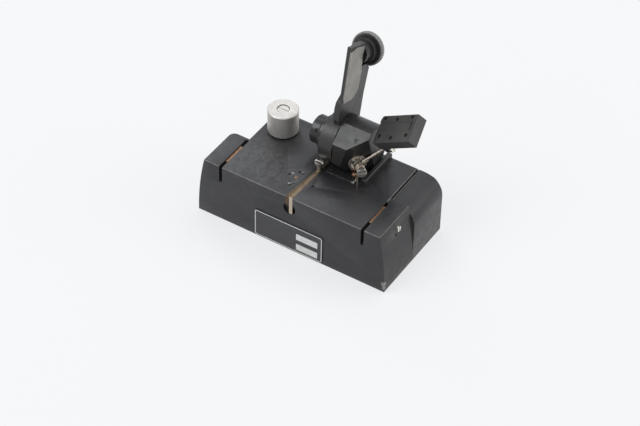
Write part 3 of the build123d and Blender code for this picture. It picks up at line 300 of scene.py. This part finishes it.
    def edges(self, radius: float, low: float = 0.9, high: float = 0.995) -> bpy.types.NodeSocket:
        """Where the surface turns a corner.

        Args:
            radius: how wide the corner's band is, in metres.
            low: the cosine that counts as a full corner.
            high: the cosine that counts as flat.

        Returns:
            One at a corner and nought on flat ground.
        """
        bevel = self.tree.nodes.new("ShaderNodeBevel")
        bevel.samples = BEVEL_SAMPLES
        bevel.inputs["Radius"].default_value = radius
        geometry = self.tree.nodes.new("ShaderNodeNewGeometry")
        dot = self.tree.nodes.new("ShaderNodeVectorMath")
        dot.operation = "DOT_PRODUCT"
        self.link(bevel.outputs["Normal"], dot.inputs[0])
        self.link(geometry.outputs["Normal"], dot.inputs[1])
        return self.ramp(dot.outputs["Value"], low, high, 1.0, 0.0)

    def relief(
        self, height: bpy.types.NodeSocket, strength: float, distance: float, corner: float
    ) -> bpy.types.NodeSocket:
        """A bump on top of softly rounded corners.

        Args:
            height: the pattern of the bump.
            strength: how strong the bump is.
            distance: its depth in metres.
            corner: the radius of the rounded corners in metres.

        Returns:
            The normal.
        """
        bump = self.tree.nodes.new("ShaderNodeBump")
        bump.inputs["Strength"].default_value = strength
        bump.inputs["Distance"].default_value = distance
        self.link(height, bump.inputs["Height"])
        if corner > 0:
            bevel = self.tree.nodes.new("ShaderNodeBevel")
            bevel.samples = BEVEL_SAMPLES
            bevel.inputs["Radius"].default_value = corner
            self.link(bevel.outputs["Normal"], bump.inputs["Normal"])
        return bump.outputs["Normal"]

    def surface(
        self,
        colour: bpy.types.NodeSocket,
        roughness: bpy.types.NodeSocket,
        normal: bpy.types.NodeSocket,
        metallic: float,
        specular: float = 0.5,
    ) -> bpy.types.Material:
        """Finishes the material.

        Args:
            colour: the base colour.
            roughness: the roughness.
            normal: the normal.
            metallic: how metallic the surface is.
            specular: the strength of the gloss on what isn't metal.

        Returns:
            The finished material.
        """
        node = self.tree.nodes.new("ShaderNodeBsdfPrincipled")
        self.link(colour, node.inputs["Base Color"])
        self.link(roughness, node.inputs["Roughness"])
        self.link(normal, node.inputs["Normal"])
        node.inputs["Metallic"].default_value = metallic
        node.inputs["Specular IOR Level"].default_value = specular
        self.link(node.outputs["BSDF"], self.output.inputs["Surface"])
        return self.material


@dataclass(frozen=True)
class Blemish:
    """One mark at a place: a chip or a scuffed patch."""

    at: Point
    radius: float
    strength: float = 1.0
    edge: float = 0.35


@dataclass(frozen=True)
class WearAndHighlightLine:
    """A pale line where two planes meet: rubbed paint on some edges, a painted highlight on others."""

    axes: tuple[int, int]
    at: tuple[float, float]
    half_width: float = 0.35 * MM
    strength: float = 0.7


@dataclass(frozen=True)
class RubbedRim:
    """The rim of a turned piece, where hands have rubbed the finish away."""

    at: Point
    axis: Point
    start: float
    end: float
    strength: float = 0.6


@dataclass(frozen=True)
class Enamel:
    """Black paint over metal: fine grain, soft patches, scuffs, chips, rubbed edges and painted highlights
    along some edges.
    """

    name: str
    base: Colour
    patch: Colour
    bare: Colour = (0.3, 0.29, 0.27)
    rough: float = 0.4
    grain: float = 0.2
    wear: float = 0.4
    corner: float = 0.3 * MM
    specular: float = 0.5
    scuff: Colour = (0.07, 0.07, 0.07)
    scuffs: tuple[Blemish, ...] = ()
    chips: tuple[Blemish, ...] = ()
    lines: tuple[WearAndHighlightLine, ...] = ()
    rim: Optional[RubbedRim] = None

    def rubbed(self, sheet: ShaderSheet) -> bpy.types.NodeSocket:
        """Where the paint has gone from the edges, and where a highlight is painted along some edges.

        Args:
            sheet: the material's node tree.

        Returns:
            The mask of bare metal and of painted highlight.
        """
        ragged = sheet.pattern(RAGGED_EDGE)
        wear_and_highlight = sheet.math("MULTIPLY", sheet.edges(self.corner, 0.86, 0.985), ragged)
        wear_and_highlight = sheet.math("MULTIPLY", wear_and_highlight, self.wear)
        if self.lines:
            broken = sheet.pattern(BROKEN_LINE)
            for line in self.lines:
                first = sheet.band(line.axes[0], line.at[0], line.half_width)
                second = sheet.band(line.axes[1], line.at[1], line.half_width)
                streak = sheet.math("MULTIPLY", sheet.math("MULTIPLY", first, second), broken)
                wear_and_highlight = sheet.math("MAXIMUM", wear_and_highlight, sheet.math("MULTIPLY", streak, line.strength))
        if self.chips:
            crumbs = sheet.pattern(CHIP_CRUMBS)
            for chip in self.chips:
                mark = sheet.math("MULTIPLY", sheet.spot(chip.at, chip.radius, chip.edge), crumbs)
                wear_and_highlight = sheet.math("MAXIMUM", wear_and_highlight, sheet.math("MULTIPLY", mark, chip.strength))
        if self.rim:
            rim = sheet.beyond(self.rim.at, self.rim.axis, self.rim.start, self.rim.end)
            rim = sheet.math("MULTIPLY", rim, sheet.pattern(RIM_PATCHES, 0.5, 1.0))
            wear_and_highlight = sheet.math("MAXIMUM", wear_and_highlight, sheet.math("MULTIPLY", rim, self.rim.strength))
        return wear_and_highlight

    def material(self) -> bpy.types.Material:
        """Builds the paint."""
        sheet = ShaderSheet(self.name)
        broad = sheet.pattern(BROAD_PATCHES)
        fine = sheet.noise(900.0, 3.0, 0.6)
        colour = sheet.mix(broad, self.base, self.patch)
        dust = sheet.pattern(DUST, 0.0, 0.2)
        colour = sheet.mix(dust, colour, tuple(c * 2.0 + 0.01 for c in self.patch))
        if self.scuffs:
            streaks = sheet.pattern(SCUFF_STREAKS)
            for mark in self.scuffs:
                amount = sheet.math("MULTIPLY", sheet.spot(mark.at, mark.radius, mark.edge), streaks)
                amount = sheet.math("MULTIPLY", amount, mark.strength)
                colour = sheet.mix(amount, colour, self.scuff)
        wear_and_highlight = self.rubbed(sheet)
        colour = sheet.mix(wear_and_highlight, colour, self.bare)
        rough = sheet.pattern(GLOSS_PATCHES, self.rough - 0.06, self.rough + 0.07)
        normal = sheet.relief(fine, self.grain, 0.05 * MM, self.corner * CORNER_SHARE)
        return sheet.surface(colour, rough, normal, 0.0, self.specular)


@dataclass(frozen=True)
class BareMetal:
    """Bare metal with tooling marks, a stain that gathers in patches, and a painted highlight along its
    corners.
    """

    name: str
    base: Colour
    stain: Colour
    rough: float = 0.32
    grain: Grain = Grain.NONE
    mark: float = 0.25
    stained: float = 0.5
    patch_scale: float = 90.0
    corner: float = 0.2 * MM
    edge: float = 0.45  # how strongly the corners are painted lighter, a painted highlight
    front: Optional[float] = None  # where a bright ground end lies across Y

    def material(self) -> bpy.types.Material:
        """Builds the metal."""
        sheet = ShaderSheet(self.name)
        patches = sheet.noise(self.patch_scale, 6.0, 0.65, distortion=0.6)
        stain = sheet.ramp(patches, 0.42, 0.68, 0.0, self.stained)
        colour = sheet.mix(stain, self.base, self.stain)
        # Painted highlight: the corners are mixed towards a lighter colour; the front band adds the lighter
        # ground end.
        bright = sheet.math("MULTIPLY", sheet.edges(self.corner, 0.88, 0.99), self.edge)
        if self.front is not None:
            bright = sheet.math("MAXIMUM", bright, sheet.band(1, self.front, 0.3 * MM))
        lighter = tuple(min(1.0, c * 1.9 + 0.12) for c in self.base)
        colour = sheet.mix(bright, colour, lighter)
        marks = sheet.noise(2200.0, 4.0, 0.6, self.grain.value)
        rough = sheet.ramp(
            sheet.math("ADD", sheet.math("MULTIPLY", marks, 0.5), sheet.math("MULTIPLY", patches, 0.5)),
            0.3,
            0.7,
            max(0.05, self.rough - 0.1),
            self.rough + 0.14,
        )
        normal = sheet.relief(marks, self.mark, 0.03 * MM, self.corner * CORNER_SHARE)
        return sheet.surface(colour, rough, normal, 1.0)


@dataclass(frozen=True)
class Moulded:
    """A dull rubber or printed surface."""

    name: str
    base: Colour
    patch: Colour
    rough: float = 0.6
    scale: float = 400.0
    grain: float = 0.2

    def material(self) -> bpy.types.Material:
        """Builds the surface."""
        sheet = ShaderSheet(self.name)
        patches = sheet.noise(self.scale, 4.0, 0.6)
        colour = sheet.mix(sheet.ramp(patches, 0.35, 0.7), self.base, self.patch)
        rough = sheet.ramp(patches, 0.3, 0.7, self.rough - 0.06, self.rough + 0.06)
        normal = sheet.relief(sheet.noise(1800.0, 3.0), self.grain, 0.03 * MM, 0.15 * MM)
        return sheet.surface(colour, rough, normal, 0.0)


@dataclass
class Finishes:
    """Every finish on the splicer, each built once."""

    base_paint: Enamel = Enamel(
        "black_stove_enamel",
        (0.014, 0.014, 0.0155),
        (0.021, 0.021, 0.023),
        wear=0.5,
        scuffs=(
            Blemish((-36.0 * MM, -19.0 * MM, 48.8 * MM), 20.0 * MM, 1.0, 0.6),
            Blemish((-50.0 * MM, -10.0 * MM, 48.8 * MM), 16.0 * MM, 0.8, 0.7),
            Blemish((-14.0 * MM, -22.0 * MM, 48.8 * MM), 12.0 * MM, 0.65, 0.7),
            Blemish((22.0 * MM, -26.0 * MM, 48.8 * MM), 10.0 * MM, 0.3, 0.7),
            Blemish((66.0 * MM, -20.0 * MM, 46.0 * MM), 12.0 * MM, 0.3, 0.7),
        ),
        chips=(
            Blemish((-9.0 * MM, -25.4 * MM, 48.8 * MM), 0.9 * MM),
            Blemish((-6.8 * MM, -24.0 * MM, 48.8 * MM), 0.8 * MM),
            Blemish((-12.3 * MM, -15.3 * MM, 48.8 * MM), 0.9 * MM),
            Blemish((-6.6 * MM, -11.5 * MM, 48.8 * MM), 0.8 * MM),
            Blemish((75.7 * MM, -37.5 * MM, 7.5 * MM), 2.2 * MM, 1.0, 0.3),
            Blemish((75.8 * MM, -37.5 * MM, 4.0 * MM), 1.6 * MM, 1.0, 0.3),
        ),
        lines=(
            WearAndHighlightLine((1, 2), (-37.5 * MM, 48.65 * MM), 0.22 * MM, 0.7),
            WearAndHighlightLine((0, 2), (70.6 * MM, 48.65 * MM), 0.22 * MM, 0.4),
            # Painted highlight: these two lines paint the light double line along the right slot's step edge;
            # they are not wear.
            WearAndHighlightLine((0, 2), (56.3 * MM, 48.7 * MM), 0.3 * MM, 0.6),
            WearAndHighlightLine((0, 2), (57.7 * MM, 47.7 * MM), 0.3 * MM, 0.5),
        ),
    )
    head_paint: Enamel = Enamel(
        "head_black_paint", (0.012, 0.012, 0.012), (0.02, 0.0195, 0.019), rough=0.36, wear=0.3
    )
    foot_paint: Enamel = Enamel(
        "foot_plate_black",
        (0.012, 0.012, 0.012),
        (0.02, 0.0195, 0.019),
        wear=0.5,
        bare=(0.45, 0.44, 0.42),
        chips=(
            Blemish((28.1 * MM, -1.9 * MM, 49.6 * MM), 1.7 * MM),
            Blemish((28.1 * MM, 2.0 * MM, 49.6 * MM), 1.9 * MM),
        ),
    )
    lever_paint: Enamel = Enamel(
        "lever_black_paint", (0.02, 0.02, 0.0205), (0.032, 0.0315, 0.031), rough=0.4, wear=0.35
    )
    rail_paint: Enamel = Enamel(
        "rail_black_paint", (0.014, 0.014, 0.014), (0.024, 0.0235, 0.023), rough=0.42, wear=0.1
    )
    pad_black: Enamel = Enamel(
        "pad_anodised_black", (0.04, 0.04, 0.039), (0.056, 0.055, 0.052), rough=0.44, wear=0.25, grain=0.15
    )
    knob_black: Enamel = Enamel(
        "knob_black_oxide", (0.014, 0.014, 0.015), (0.024, 0.023, 0.023), rough=0.32, wear=0.5
    )
    palm_black: Enamel = Enamel(
        "palm_knob_rubbed_black",
        (0.016, 0.016, 0.017),
        (0.027, 0.026, 0.026),
        bare=(0.36, 0.355, 0.34),
        rough=0.3,
        wear=0.8,
        rim=RubbedRim(
            (6.0 * MM, 48.77 * MM, 123.1 * MM), (0.0, 0.94943, -0.31399), 10.3 * MM, 11.4 * MM, 0.75
        ),
    )
    cover_sheet: Enamel = Enamel(
        "cover_dark_sheet", (0.03, 0.03, 0.03), (0.05, 0.05, 0.05), rough=0.55, wear=0.3
    )
    dark_steel: BareMetal = BareMetal(
        "blackened_steel", (0.06, 0.06, 0.062), (0.03, 0.028, 0.025), rough=0.34
    )
    steel: BareMetal = BareMetal(
        "turned_steel", (0.78, 0.76, 0.7), (0.46, 0.4, 0.31), rough=0.27, stained=0.45, patch_scale=420.0
    )
    stay_steel: BareMetal = BareMetal(
        "dull_stay_steel", (0.44, 0.4, 0.34), (0.22, 0.18, 0.14), rough=0.3, stained=0.7, patch_scale=300.0
    )
    cutter: BareMetal = BareMetal(
        "ground_cutter_steel",
        (0.29, 0.28, 0.255),
        (0.2, 0.185, 0.16),
        rough=0.42,
        grain=Grain.ALONG_Z,
        stained=0.5,
        edge=0.9,
    )
    blade: BareMetal = BareMetal(
        "tarnished_blade",
        (0.2, 0.157, 0.11),
        (0.115, 0.08, 0.05),
        rough=0.42,
        grain=Grain.ALONG_Y,
        stained=0.8,
        patch_scale=160.0,
        front=-37.65 * MM,
    )
    wedge: BareMetal = BareMetal(
        "tarnished_wedge",
        (0.13, 0.095, 0.06),
        (0.075, 0.052, 0.032),
        rough=0.45,
        grain=Grain.ALONG_Y,
        stained=0.8,
        patch_scale=160.0,
    )
    brass: BareMetal = BareMetal(
        "tarnished_brass",
        (0.3, 0.185, 0.115),
        (0.13, 0.075, 0.048),
        rough=0.4,
        stained=0.8,
        patch_scale=260.0,
        edge=0.9,
    )
    bronze: BareMetal = BareMetal(
        "old_bronze", (0.42, 0.33, 0.23), (0.2, 0.14, 0.09), rough=0.38, stained=0.8, patch_scale=300.0
    )
    hub_grey: BareMetal = BareMetal(
        "satin_grey_aluminium",
        (0.62, 0.605, 0.58),
        (0.5, 0.48, 0.445),
        rough=0.56,
        stained=0.7,
        patch_scale=150.0,
        mark=0.3,
    )
    rubber: Moulded = Moulded("black_rubber", (0.018, 0.018, 0.018), (0.028, 0.027, 0.026), rough=0.75)
    plate_black: Moulded = Moulded("plate_black_print", (0.03, 0.03, 0.032), (0.045, 0.045, 0.048), rough=0.4)
    plate_white: Moulded = Moulded("plate_bare_aluminium", (0.8, 0.8, 0.79), (0.64, 0.64, 0.62), rough=0.45)
    spring: BareMetal = BareMetal(
        "spring_bronze_wire",
        (0.4, 0.335, 0.265),
        (0.22, 0.165, 0.12),
        rough=0.36,
        stained=0.7,
        patch_scale=500.0,
    )
    made: dict[str, bpy.types.Material] = field(default_factory=dict)

    def get(self, name: str) -> bpy.types.Material:
        """The material of one finish.

        Args:
            name: the finish's field name.

        Returns:
            Its material, built on the first call.
        """
        if name not in self.made:
            self.made[name] = getattr(self, name).material()
        return self.made[name]


class Workshop:
    """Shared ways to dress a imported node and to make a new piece."""

    merge: float = 0.002 * MM
    flat_angle: float = math.radians(0.8)
    smooth_angle: float = math.radians(38.0)
    segments: int = 3

    def __init__(self, finishes: Finishes) -> None:
        """Keeps the finishes.

        Args:
            finishes: every finish on the splicer.
        """
        self.finishes = finishes

    def dress(self, node: str, finish: str) -> bpy.types.Object:
        """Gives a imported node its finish.

        Args:
            node: the node's name.
            finish: the finish's name.

        Returns:
            The node's object.
        """
        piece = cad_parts[node]
        piece.data.materials.clear()
        piece.data.materials.append(self.finishes.get(finish))
        LOG.info("dressed %s with %s", node, finish)
        return piece

    def soften(
        self, node: str, body: str, slot: str, finish: str, width: float, angle: float = 30.0
    ) -> bpy.types.Object:
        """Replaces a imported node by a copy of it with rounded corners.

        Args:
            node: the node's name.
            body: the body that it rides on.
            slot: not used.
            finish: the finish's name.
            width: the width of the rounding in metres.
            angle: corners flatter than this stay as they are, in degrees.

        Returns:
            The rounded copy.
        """
        bpy.ops.object.select_all(action="DESELECT")
        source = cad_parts[node]
        piece = source.copy()
        piece.data = source.data.copy()
        piece.parent = None
        piece.name = node + "_soft"
        bpy.context.scene.collection.objects.link(piece)
        piece.data.materials.clear()
        piece.data.materials.append(self.finishes.get(finish))
        bpy.context.view_layer.objects.active = piece
        piece.select_set(True)
        bpy.ops.object.mode_set(mode="EDIT")
        bpy.ops.mesh.select_all(action="SELECT")
        bpy.ops.mesh.remove_doubles(threshold=self.merge)
        bpy.ops.mesh.dissolve_limited(angle_limit=self.flat_angle, delimit={"NORMAL"})
        bpy.ops.object.mode_set(mode="OBJECT")
        bevel = piece.modifiers.new("corner", "BEVEL")
        bevel.width = width
        bevel.segments = self.segments
        bevel.limit_method = "ANGLE"
        bevel.angle_limit = math.radians(angle)
        bevel.use_clamp_overlap = True
        bpy.ops.object.modifier_apply(modifier="corner")
        bpy.ops.object.shade_smooth_by_angle(angle=self.smooth_angle)
        piece.select_set(False)
        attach(piece, body)
        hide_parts(node)
        LOG.info("rounded %s", node)
        return piece

    def claim(
        self, piece: bpy.types.Object, name: str, body: str, slot: str, finish: str
    ) -> bpy.types.Object:
        """Names a new piece, gives it its finish and lets it ride on its body.

        Args:
            piece: the new piece.
            name: its name.
            body: the body that it rides on.
            slot: not used.
            finish: the finish's name.

        Returns:
            The piece.
        """
        piece.name = name
        bpy.ops.object.select_all(action="DESELECT")
        piece.select_set(True)
        bpy.context.view_layer.objects.active = piece
        bpy.ops.object.transform_apply(location=True, rotation=True, scale=True)
        piece.data.materials.clear()
        piece.data.materials.append(self.finishes.get(finish))
        piece.select_set(False)
        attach(piece, body)
        LOG.info("added %s", name)
        return piece


@dataclass
class NamePlate:
    """The bare plate on the front: a pale border line and two blank boxes."""

    shop: Workshop
    line: float = 0.6 * MM
    inset: float = 0.5 * MM
    rise: float = 0.06 * MM
    sink: float = 0.02 * MM
    corner: float = 1.4 * MM
    corner_steps: int = 4
    box_size: tuple[float, float] = (17.2 * MM, 5.4 * MM)
    box_right: float = 4.0 * MM
    box_tops: tuple[float, float] = (6.2 * MM, 15.4 * MM)

    def strip(self, name: str, low: Point, high: Point) -> bpy.types.Object:
        """A thin raised strip on the plate.

        Args:
            name: the piece's name.
            low: its lowest corner.
            high: its highest corner.

        Returns:
            The strip.
        """
        bpy.ops.object.select_all(action="DESELECT")
        centre = [(a + b) / 2 for a, b in zip(low, high)]
        bpy.ops.mesh.primitive_cube_add(size=1.0, location=centre)
        piece = bpy.context.object
        piece.scale = [b - a for a, b in zip(low, high)]
        return self.shop.claim(piece, name, "base", "plate", "plate_white")

    def build(self) -> None:
        """Makes the border and the boxes."""
        low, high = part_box("name_plate")
        face = low[1]
        y0, y1 = face - self.rise, face + self.sink
        bpy.ops.object.select_all(action="DESELECT")
        bpy.ops.mesh.primitive_plane_add(size=1.0, location=(0, 0, 0))
        piece = bpy.context.object
        x0, x1 = low[0] + self.inset, high[0] - self.inset
        z0, z1 = low[2] + self.inset, high[2] - self.inset
        for vertex, (x, z) in zip(piece.data.vertices, ((x0, z0), (x1, z0), (x0, z1), (x1, z1))):
            vertex.co = (x, y1, z)
        bpy.ops.object.mode_set(mode="EDIT")
        bpy.ops.mesh.select_all(action="SELECT")
        bpy.ops.mesh.bevel(offset=self.corner, segments=self.corner_steps, affect="VERTICES")
        bpy.ops.mesh.select_all(action="SELECT")
        bpy.ops.mesh.inset(thickness=self.line, depth=0.0)
        bpy.ops.mesh.delete(type="FACE")
        bpy.ops.mesh.select_all(action="SELECT")
        bpy.ops.mesh.extrude_region_move(TRANSFORM_OT_translate={"value": (0, y0 - y1, 0)})
        bpy.ops.mesh.select_all(action="SELECT")
        bpy.ops.mesh.normals_make_consistent(inside=False)
        bpy.ops.object.mode_set(mode="OBJECT")
        self.shop.claim(piece, "plate_border", "base", "plate", "plate_white")
        for index, top in enumerate(self.box_tops):
            bx1 = high[0] - self.box_right
            bz1 = high[2] - top
            self.strip(
                "plate_box_%d" % index,
                (bx1 - self.box_size[0], y0, bz1 - self.box_size[1]),
                (bx1, y1, bz1),
            )
        self.shop.dress("name_plate", "plate_black")


@dataclass(frozen=True)
class SoftBox:
    """One soft square lamp: its place, aim, width in metres, power in watts and colour."""

    name: str
    at: Point
    aim: Point
    size: float
    power: float
    colour: Colour


@dataclass
class Studio:
    """The pale floor, the soft lamps and the camera."""

    camera_at: Point = (603.216 * MM, -983.653 * MM, 1079.631 * MM)
    camera_right: Point = (0.84404, 0.535998, 0.017394)
    camera_up: Point = (-0.375998, 0.568338, 0.731859)
    lens: float = 126.994
    floor: Colour = (0.85, 0.855, 0.87)
    floor_seen: Colour = (0.93, 0.935, 0.945)
    floor_even: float = 0.74
    room_seen: Colour = (0.74, 0.755, 0.79)
    room_light: Colour = (0.95, 0.97, 1.0)
    room_level: float = 0.4
    floor_size: float = 8.0
    boxes: tuple[SoftBox, ...] = (
        SoftBox("key_box", (-0.78, -0.95, 1.45), (0, 0, 0.05), 1.1, 16.0, (0.98, 0.99, 1.0)),
        SoftBox("left_box", (-1.2, 0.85, 1.3), (0, 0, 0.05), 0.8, 5.0, (0.98, 0.99, 1.0)),
        SoftBox("right_box", (1.35, 0.75, 0.95), (0, 0, 0.05), 1.0, 10.0, (1.0, 0.97, 0.94)),
        SoftBox("top_box", (0.1, 0.8, 1.7), (0, 0, 0.0), 1.2, 8.0, (1.0, 1.0, 1.0)),
    )

    def place_camera(self) -> None:
        """Stands the camera where the photograph was taken."""
        data = bpy.data.cameras.new("view")
        data.lens = self.lens
        data.sensor_width = 36.0
        data.clip_start = 0.05
        camera = bpy.data.objects.new("view", data)
        bpy.context.scene.collection.objects.link(camera)
        right = Vector(self.camera_right).normalized()
        up = Vector(self.camera_up).normalized()
        back = right.cross(up)
        turn = Matrix((right, up, back)).transposed().to_4x4()
        camera.matrix_world = Matrix.Translation(self.camera_at) @ turn
        bpy.context.scene.camera = camera

    def hang(self, box: SoftBox) -> None:
        """Hangs one soft square lamp.

        Args:
            box: the lamp.
        """
        data = bpy.data.lights.new(box.name, "AREA")
        data.size = box.size
        data.energy = box.power
        data.color = box.colour
        lamp = bpy.data.objects.new(box.name, data)
        bpy.context.scene.collection.objects.link(lamp)
        lamp.location = box.at
        lamp.rotation_euler = (Vector(box.aim) - Vector(box.at)).to_track_quat("-Z", "Y").to_euler()

    def lay_floor(self) -> None:
        """Lays the pale floor."""
        bpy.ops.object.select_all(action="DESELECT")
        bpy.ops.mesh.primitive_plane_add(size=self.floor_size, location=(0, 0, 0))
        floor = bpy.context.object
        floor.name = "floor"
        sheet = ShaderSheet("floor_paper")
        tone = sheet.noise(3.0, 2.0)
        colour = sheet.mix(tone, self.floor, tuple(c * 0.985 for c in self.floor))
        rough = sheet.ramp(tone, 0.0, 1.0, 0.8, 0.9)
        normal = sheet.relief(sheet.noise(900.0), 0.02, 0.02 * MM, 0.0)
        material = sheet.surface(colour, rough, normal, 0.0, 0.2)
        self.even_out(sheet)
        floor.data.materials.append(material)

    def even_out(self, sheet: ShaderSheet) -> None:
        """Lets the floor look evenly pale to the lens and in gloss, with a faint shadow left.

        Args:
            sheet: the floor's node tree.
        """
        lit = sheet.output.inputs["Surface"].links[0].from_socket
        glow = sheet.tree.nodes.new("ShaderNodeEmission")
        glow.inputs["Color"].default_value = rgba(self.floor_seen)
        path = sheet.tree.nodes.new("ShaderNodeLightPath")
        seen = sheet.math("MAXIMUM", path.outputs["Is Camera Ray"], path.outputs["Is Glossy Ray"])
        share = sheet.math("MULTIPLY", seen, self.floor_even)
        blend = sheet.tree.nodes.new("ShaderNodeMixShader")
        sheet.link(share, blend.inputs[0])
        sheet.link(lit, blend.inputs[1])
        sheet.link(glow.outputs["Emission"], blend.inputs[2])
        sheet.link(blend.outputs["Shader"], sheet.output.inputs["Surface"])

    def set_room(self) -> None:
        """Gives the room an even dim light and a pale look in gloss."""
        world = bpy.data.worlds.new("room")
        world.use_nodes = True
        tree = world.node_tree
        light = tree.nodes["Background"]
        light.inputs["Color"].default_value = rgba(self.room_light)
        light.inputs["Strength"].default_value = self.room_level
        pale = tree.nodes.new("ShaderNodeBackground")
        pale.inputs["Color"].default_value = rgba(self.room_seen)
        pale.inputs["Strength"].default_value = 1.0
        path = tree.nodes.new("ShaderNodeLightPath")
        seen = tree.nodes.new("ShaderNodeMath")
        seen.operation = "MAXIMUM"
        tree.links.new(path.outputs["Is Camera Ray"], seen.inputs[0])
        tree.links.new(path.outputs["Is Glossy Ray"], seen.inputs[1])
        blend = tree.nodes.new("ShaderNodeMixShader")
        tree.links.new(seen.outputs["Value"], blend.inputs[0])
        tree.links.new(light.outputs["Background"], blend.inputs[1])
        tree.links.new(pale.outputs["Background"], blend.inputs[2])
        tree.links.new(blend.outputs["Shader"], tree.nodes["World Output"].inputs["Surface"])
        bpy.context.scene.world = world

    def build(self) -> None:
        """Sets up the whole studio."""
        self.place_camera()
        self.lay_floor()
        self.set_room()
        for box in self.boxes:
            self.hang(box)
        bpy.context.scene.view_settings.view_transform = "Standard"


@dataclass
class Base:
    """The casting with its cover, mat, blade, grippers and small pins."""

    shop: Workshop

    def build(self) -> None:
        """Dresses the base."""
        self.shop.soften("base_casting", "base", "base_paint", "base_paint", 0.35 * MM)
        for node, finish in {
            "bottom_cover": "cover_sheet",
            "bottom_cover_screws": "steel",
            "rubber_mat": "rubber",
            "fixed_blade": "blade",
            "blade_wedge": "wedge",
            "fixed_blade_screws": "steel",
            "stop_post": "steel",
            "register_plug": "brass",
            "film_gripper_left": "brass",
            "film_gripper_right": "brass",
            "film_gripper_screws": "steel",
            "tape_spindle": "steel",
            "tape_washer": "steel",
            "tape_hub": "hub_grey",
            "tape_hub_screw": "hub_grey",
        }.items():
            self.shop.dress(node, finish)
        NamePlate(self.shop).build()


@dataclass
class Head:
    """The fixed head with its shaft, collar and rail."""

    shop: Workshop

    def build(self) -> None:
        """Dresses the head."""
        for node, finish in {
            "head_foot_plate": "foot_paint",
            "head_foot_plate_screws": "dark_steel",
            "head_body": "head_paint",
            "head_body_screws": "dark_steel",
            "lever_shaft": "dark_steel",
            "shaft_lock_screw": "dark_steel",
            "shaft_collar": "knob_black",
            "collar_set_screw": "dark_steel",
            "thrust_ring": "knob_black",
            "rest_rail": "rail_paint",
            "rest_rail_screws": "dark_steel",
        }.items():
            self.shop.dress(node, finish)


@dataclass
class Lever:
    """The lever with its bush, cutter plate and palm knob."""

    shop: Workshop

    def build(self) -> None:
        """Dresses the lever."""
        for node, finish in {
            "lever_arm": "lever_paint",
            "lever_bush": "bronze",
            "cutter_plate": "cutter",
            "cutter_plate_screws": "dark_steel",
            "knob_boss": "knob_black",
            "knob_boss_set_screw": "dark_steel",
            "palm_knob": "palm_black",
            "palm_knob_screw": "steel",
        }.items():
            self.shop.dress(node, finish)


@dataclass
class SplicePad:
    """The tilting pad on its sprung stay."""

    shop: Workshop

    def build(self) -> None:
        """Dresses the pad and its pivot."""
        for node, finish in {
            "spring_cup": "steel",
            "torsion_spring": "spring",
            "pivot_screw": "steel",
            "ball_stud": "brass",
            "pad_stay": "stay_steel",
            "pad_clamp": "pad_black",
            "pad_clamp_screw": "steel",
            "pad_base": "pad_black",
            "pad_face": "pad_black",
            "pad_screws": "dark_steel",
        }.items():
            self.shop.dress(node, finish)


def main() -> None:
    """Builds the studio and the splicer."""
    logging.basicConfig(level=logging.INFO)
    shop = Workshop(Finishes())
    Studio().build()
    Base(shop).build()
    Head(shop).build()
    Lever(shop).build()
    SplicePad(shop).build()


if __name__ == "__main__":
    main()
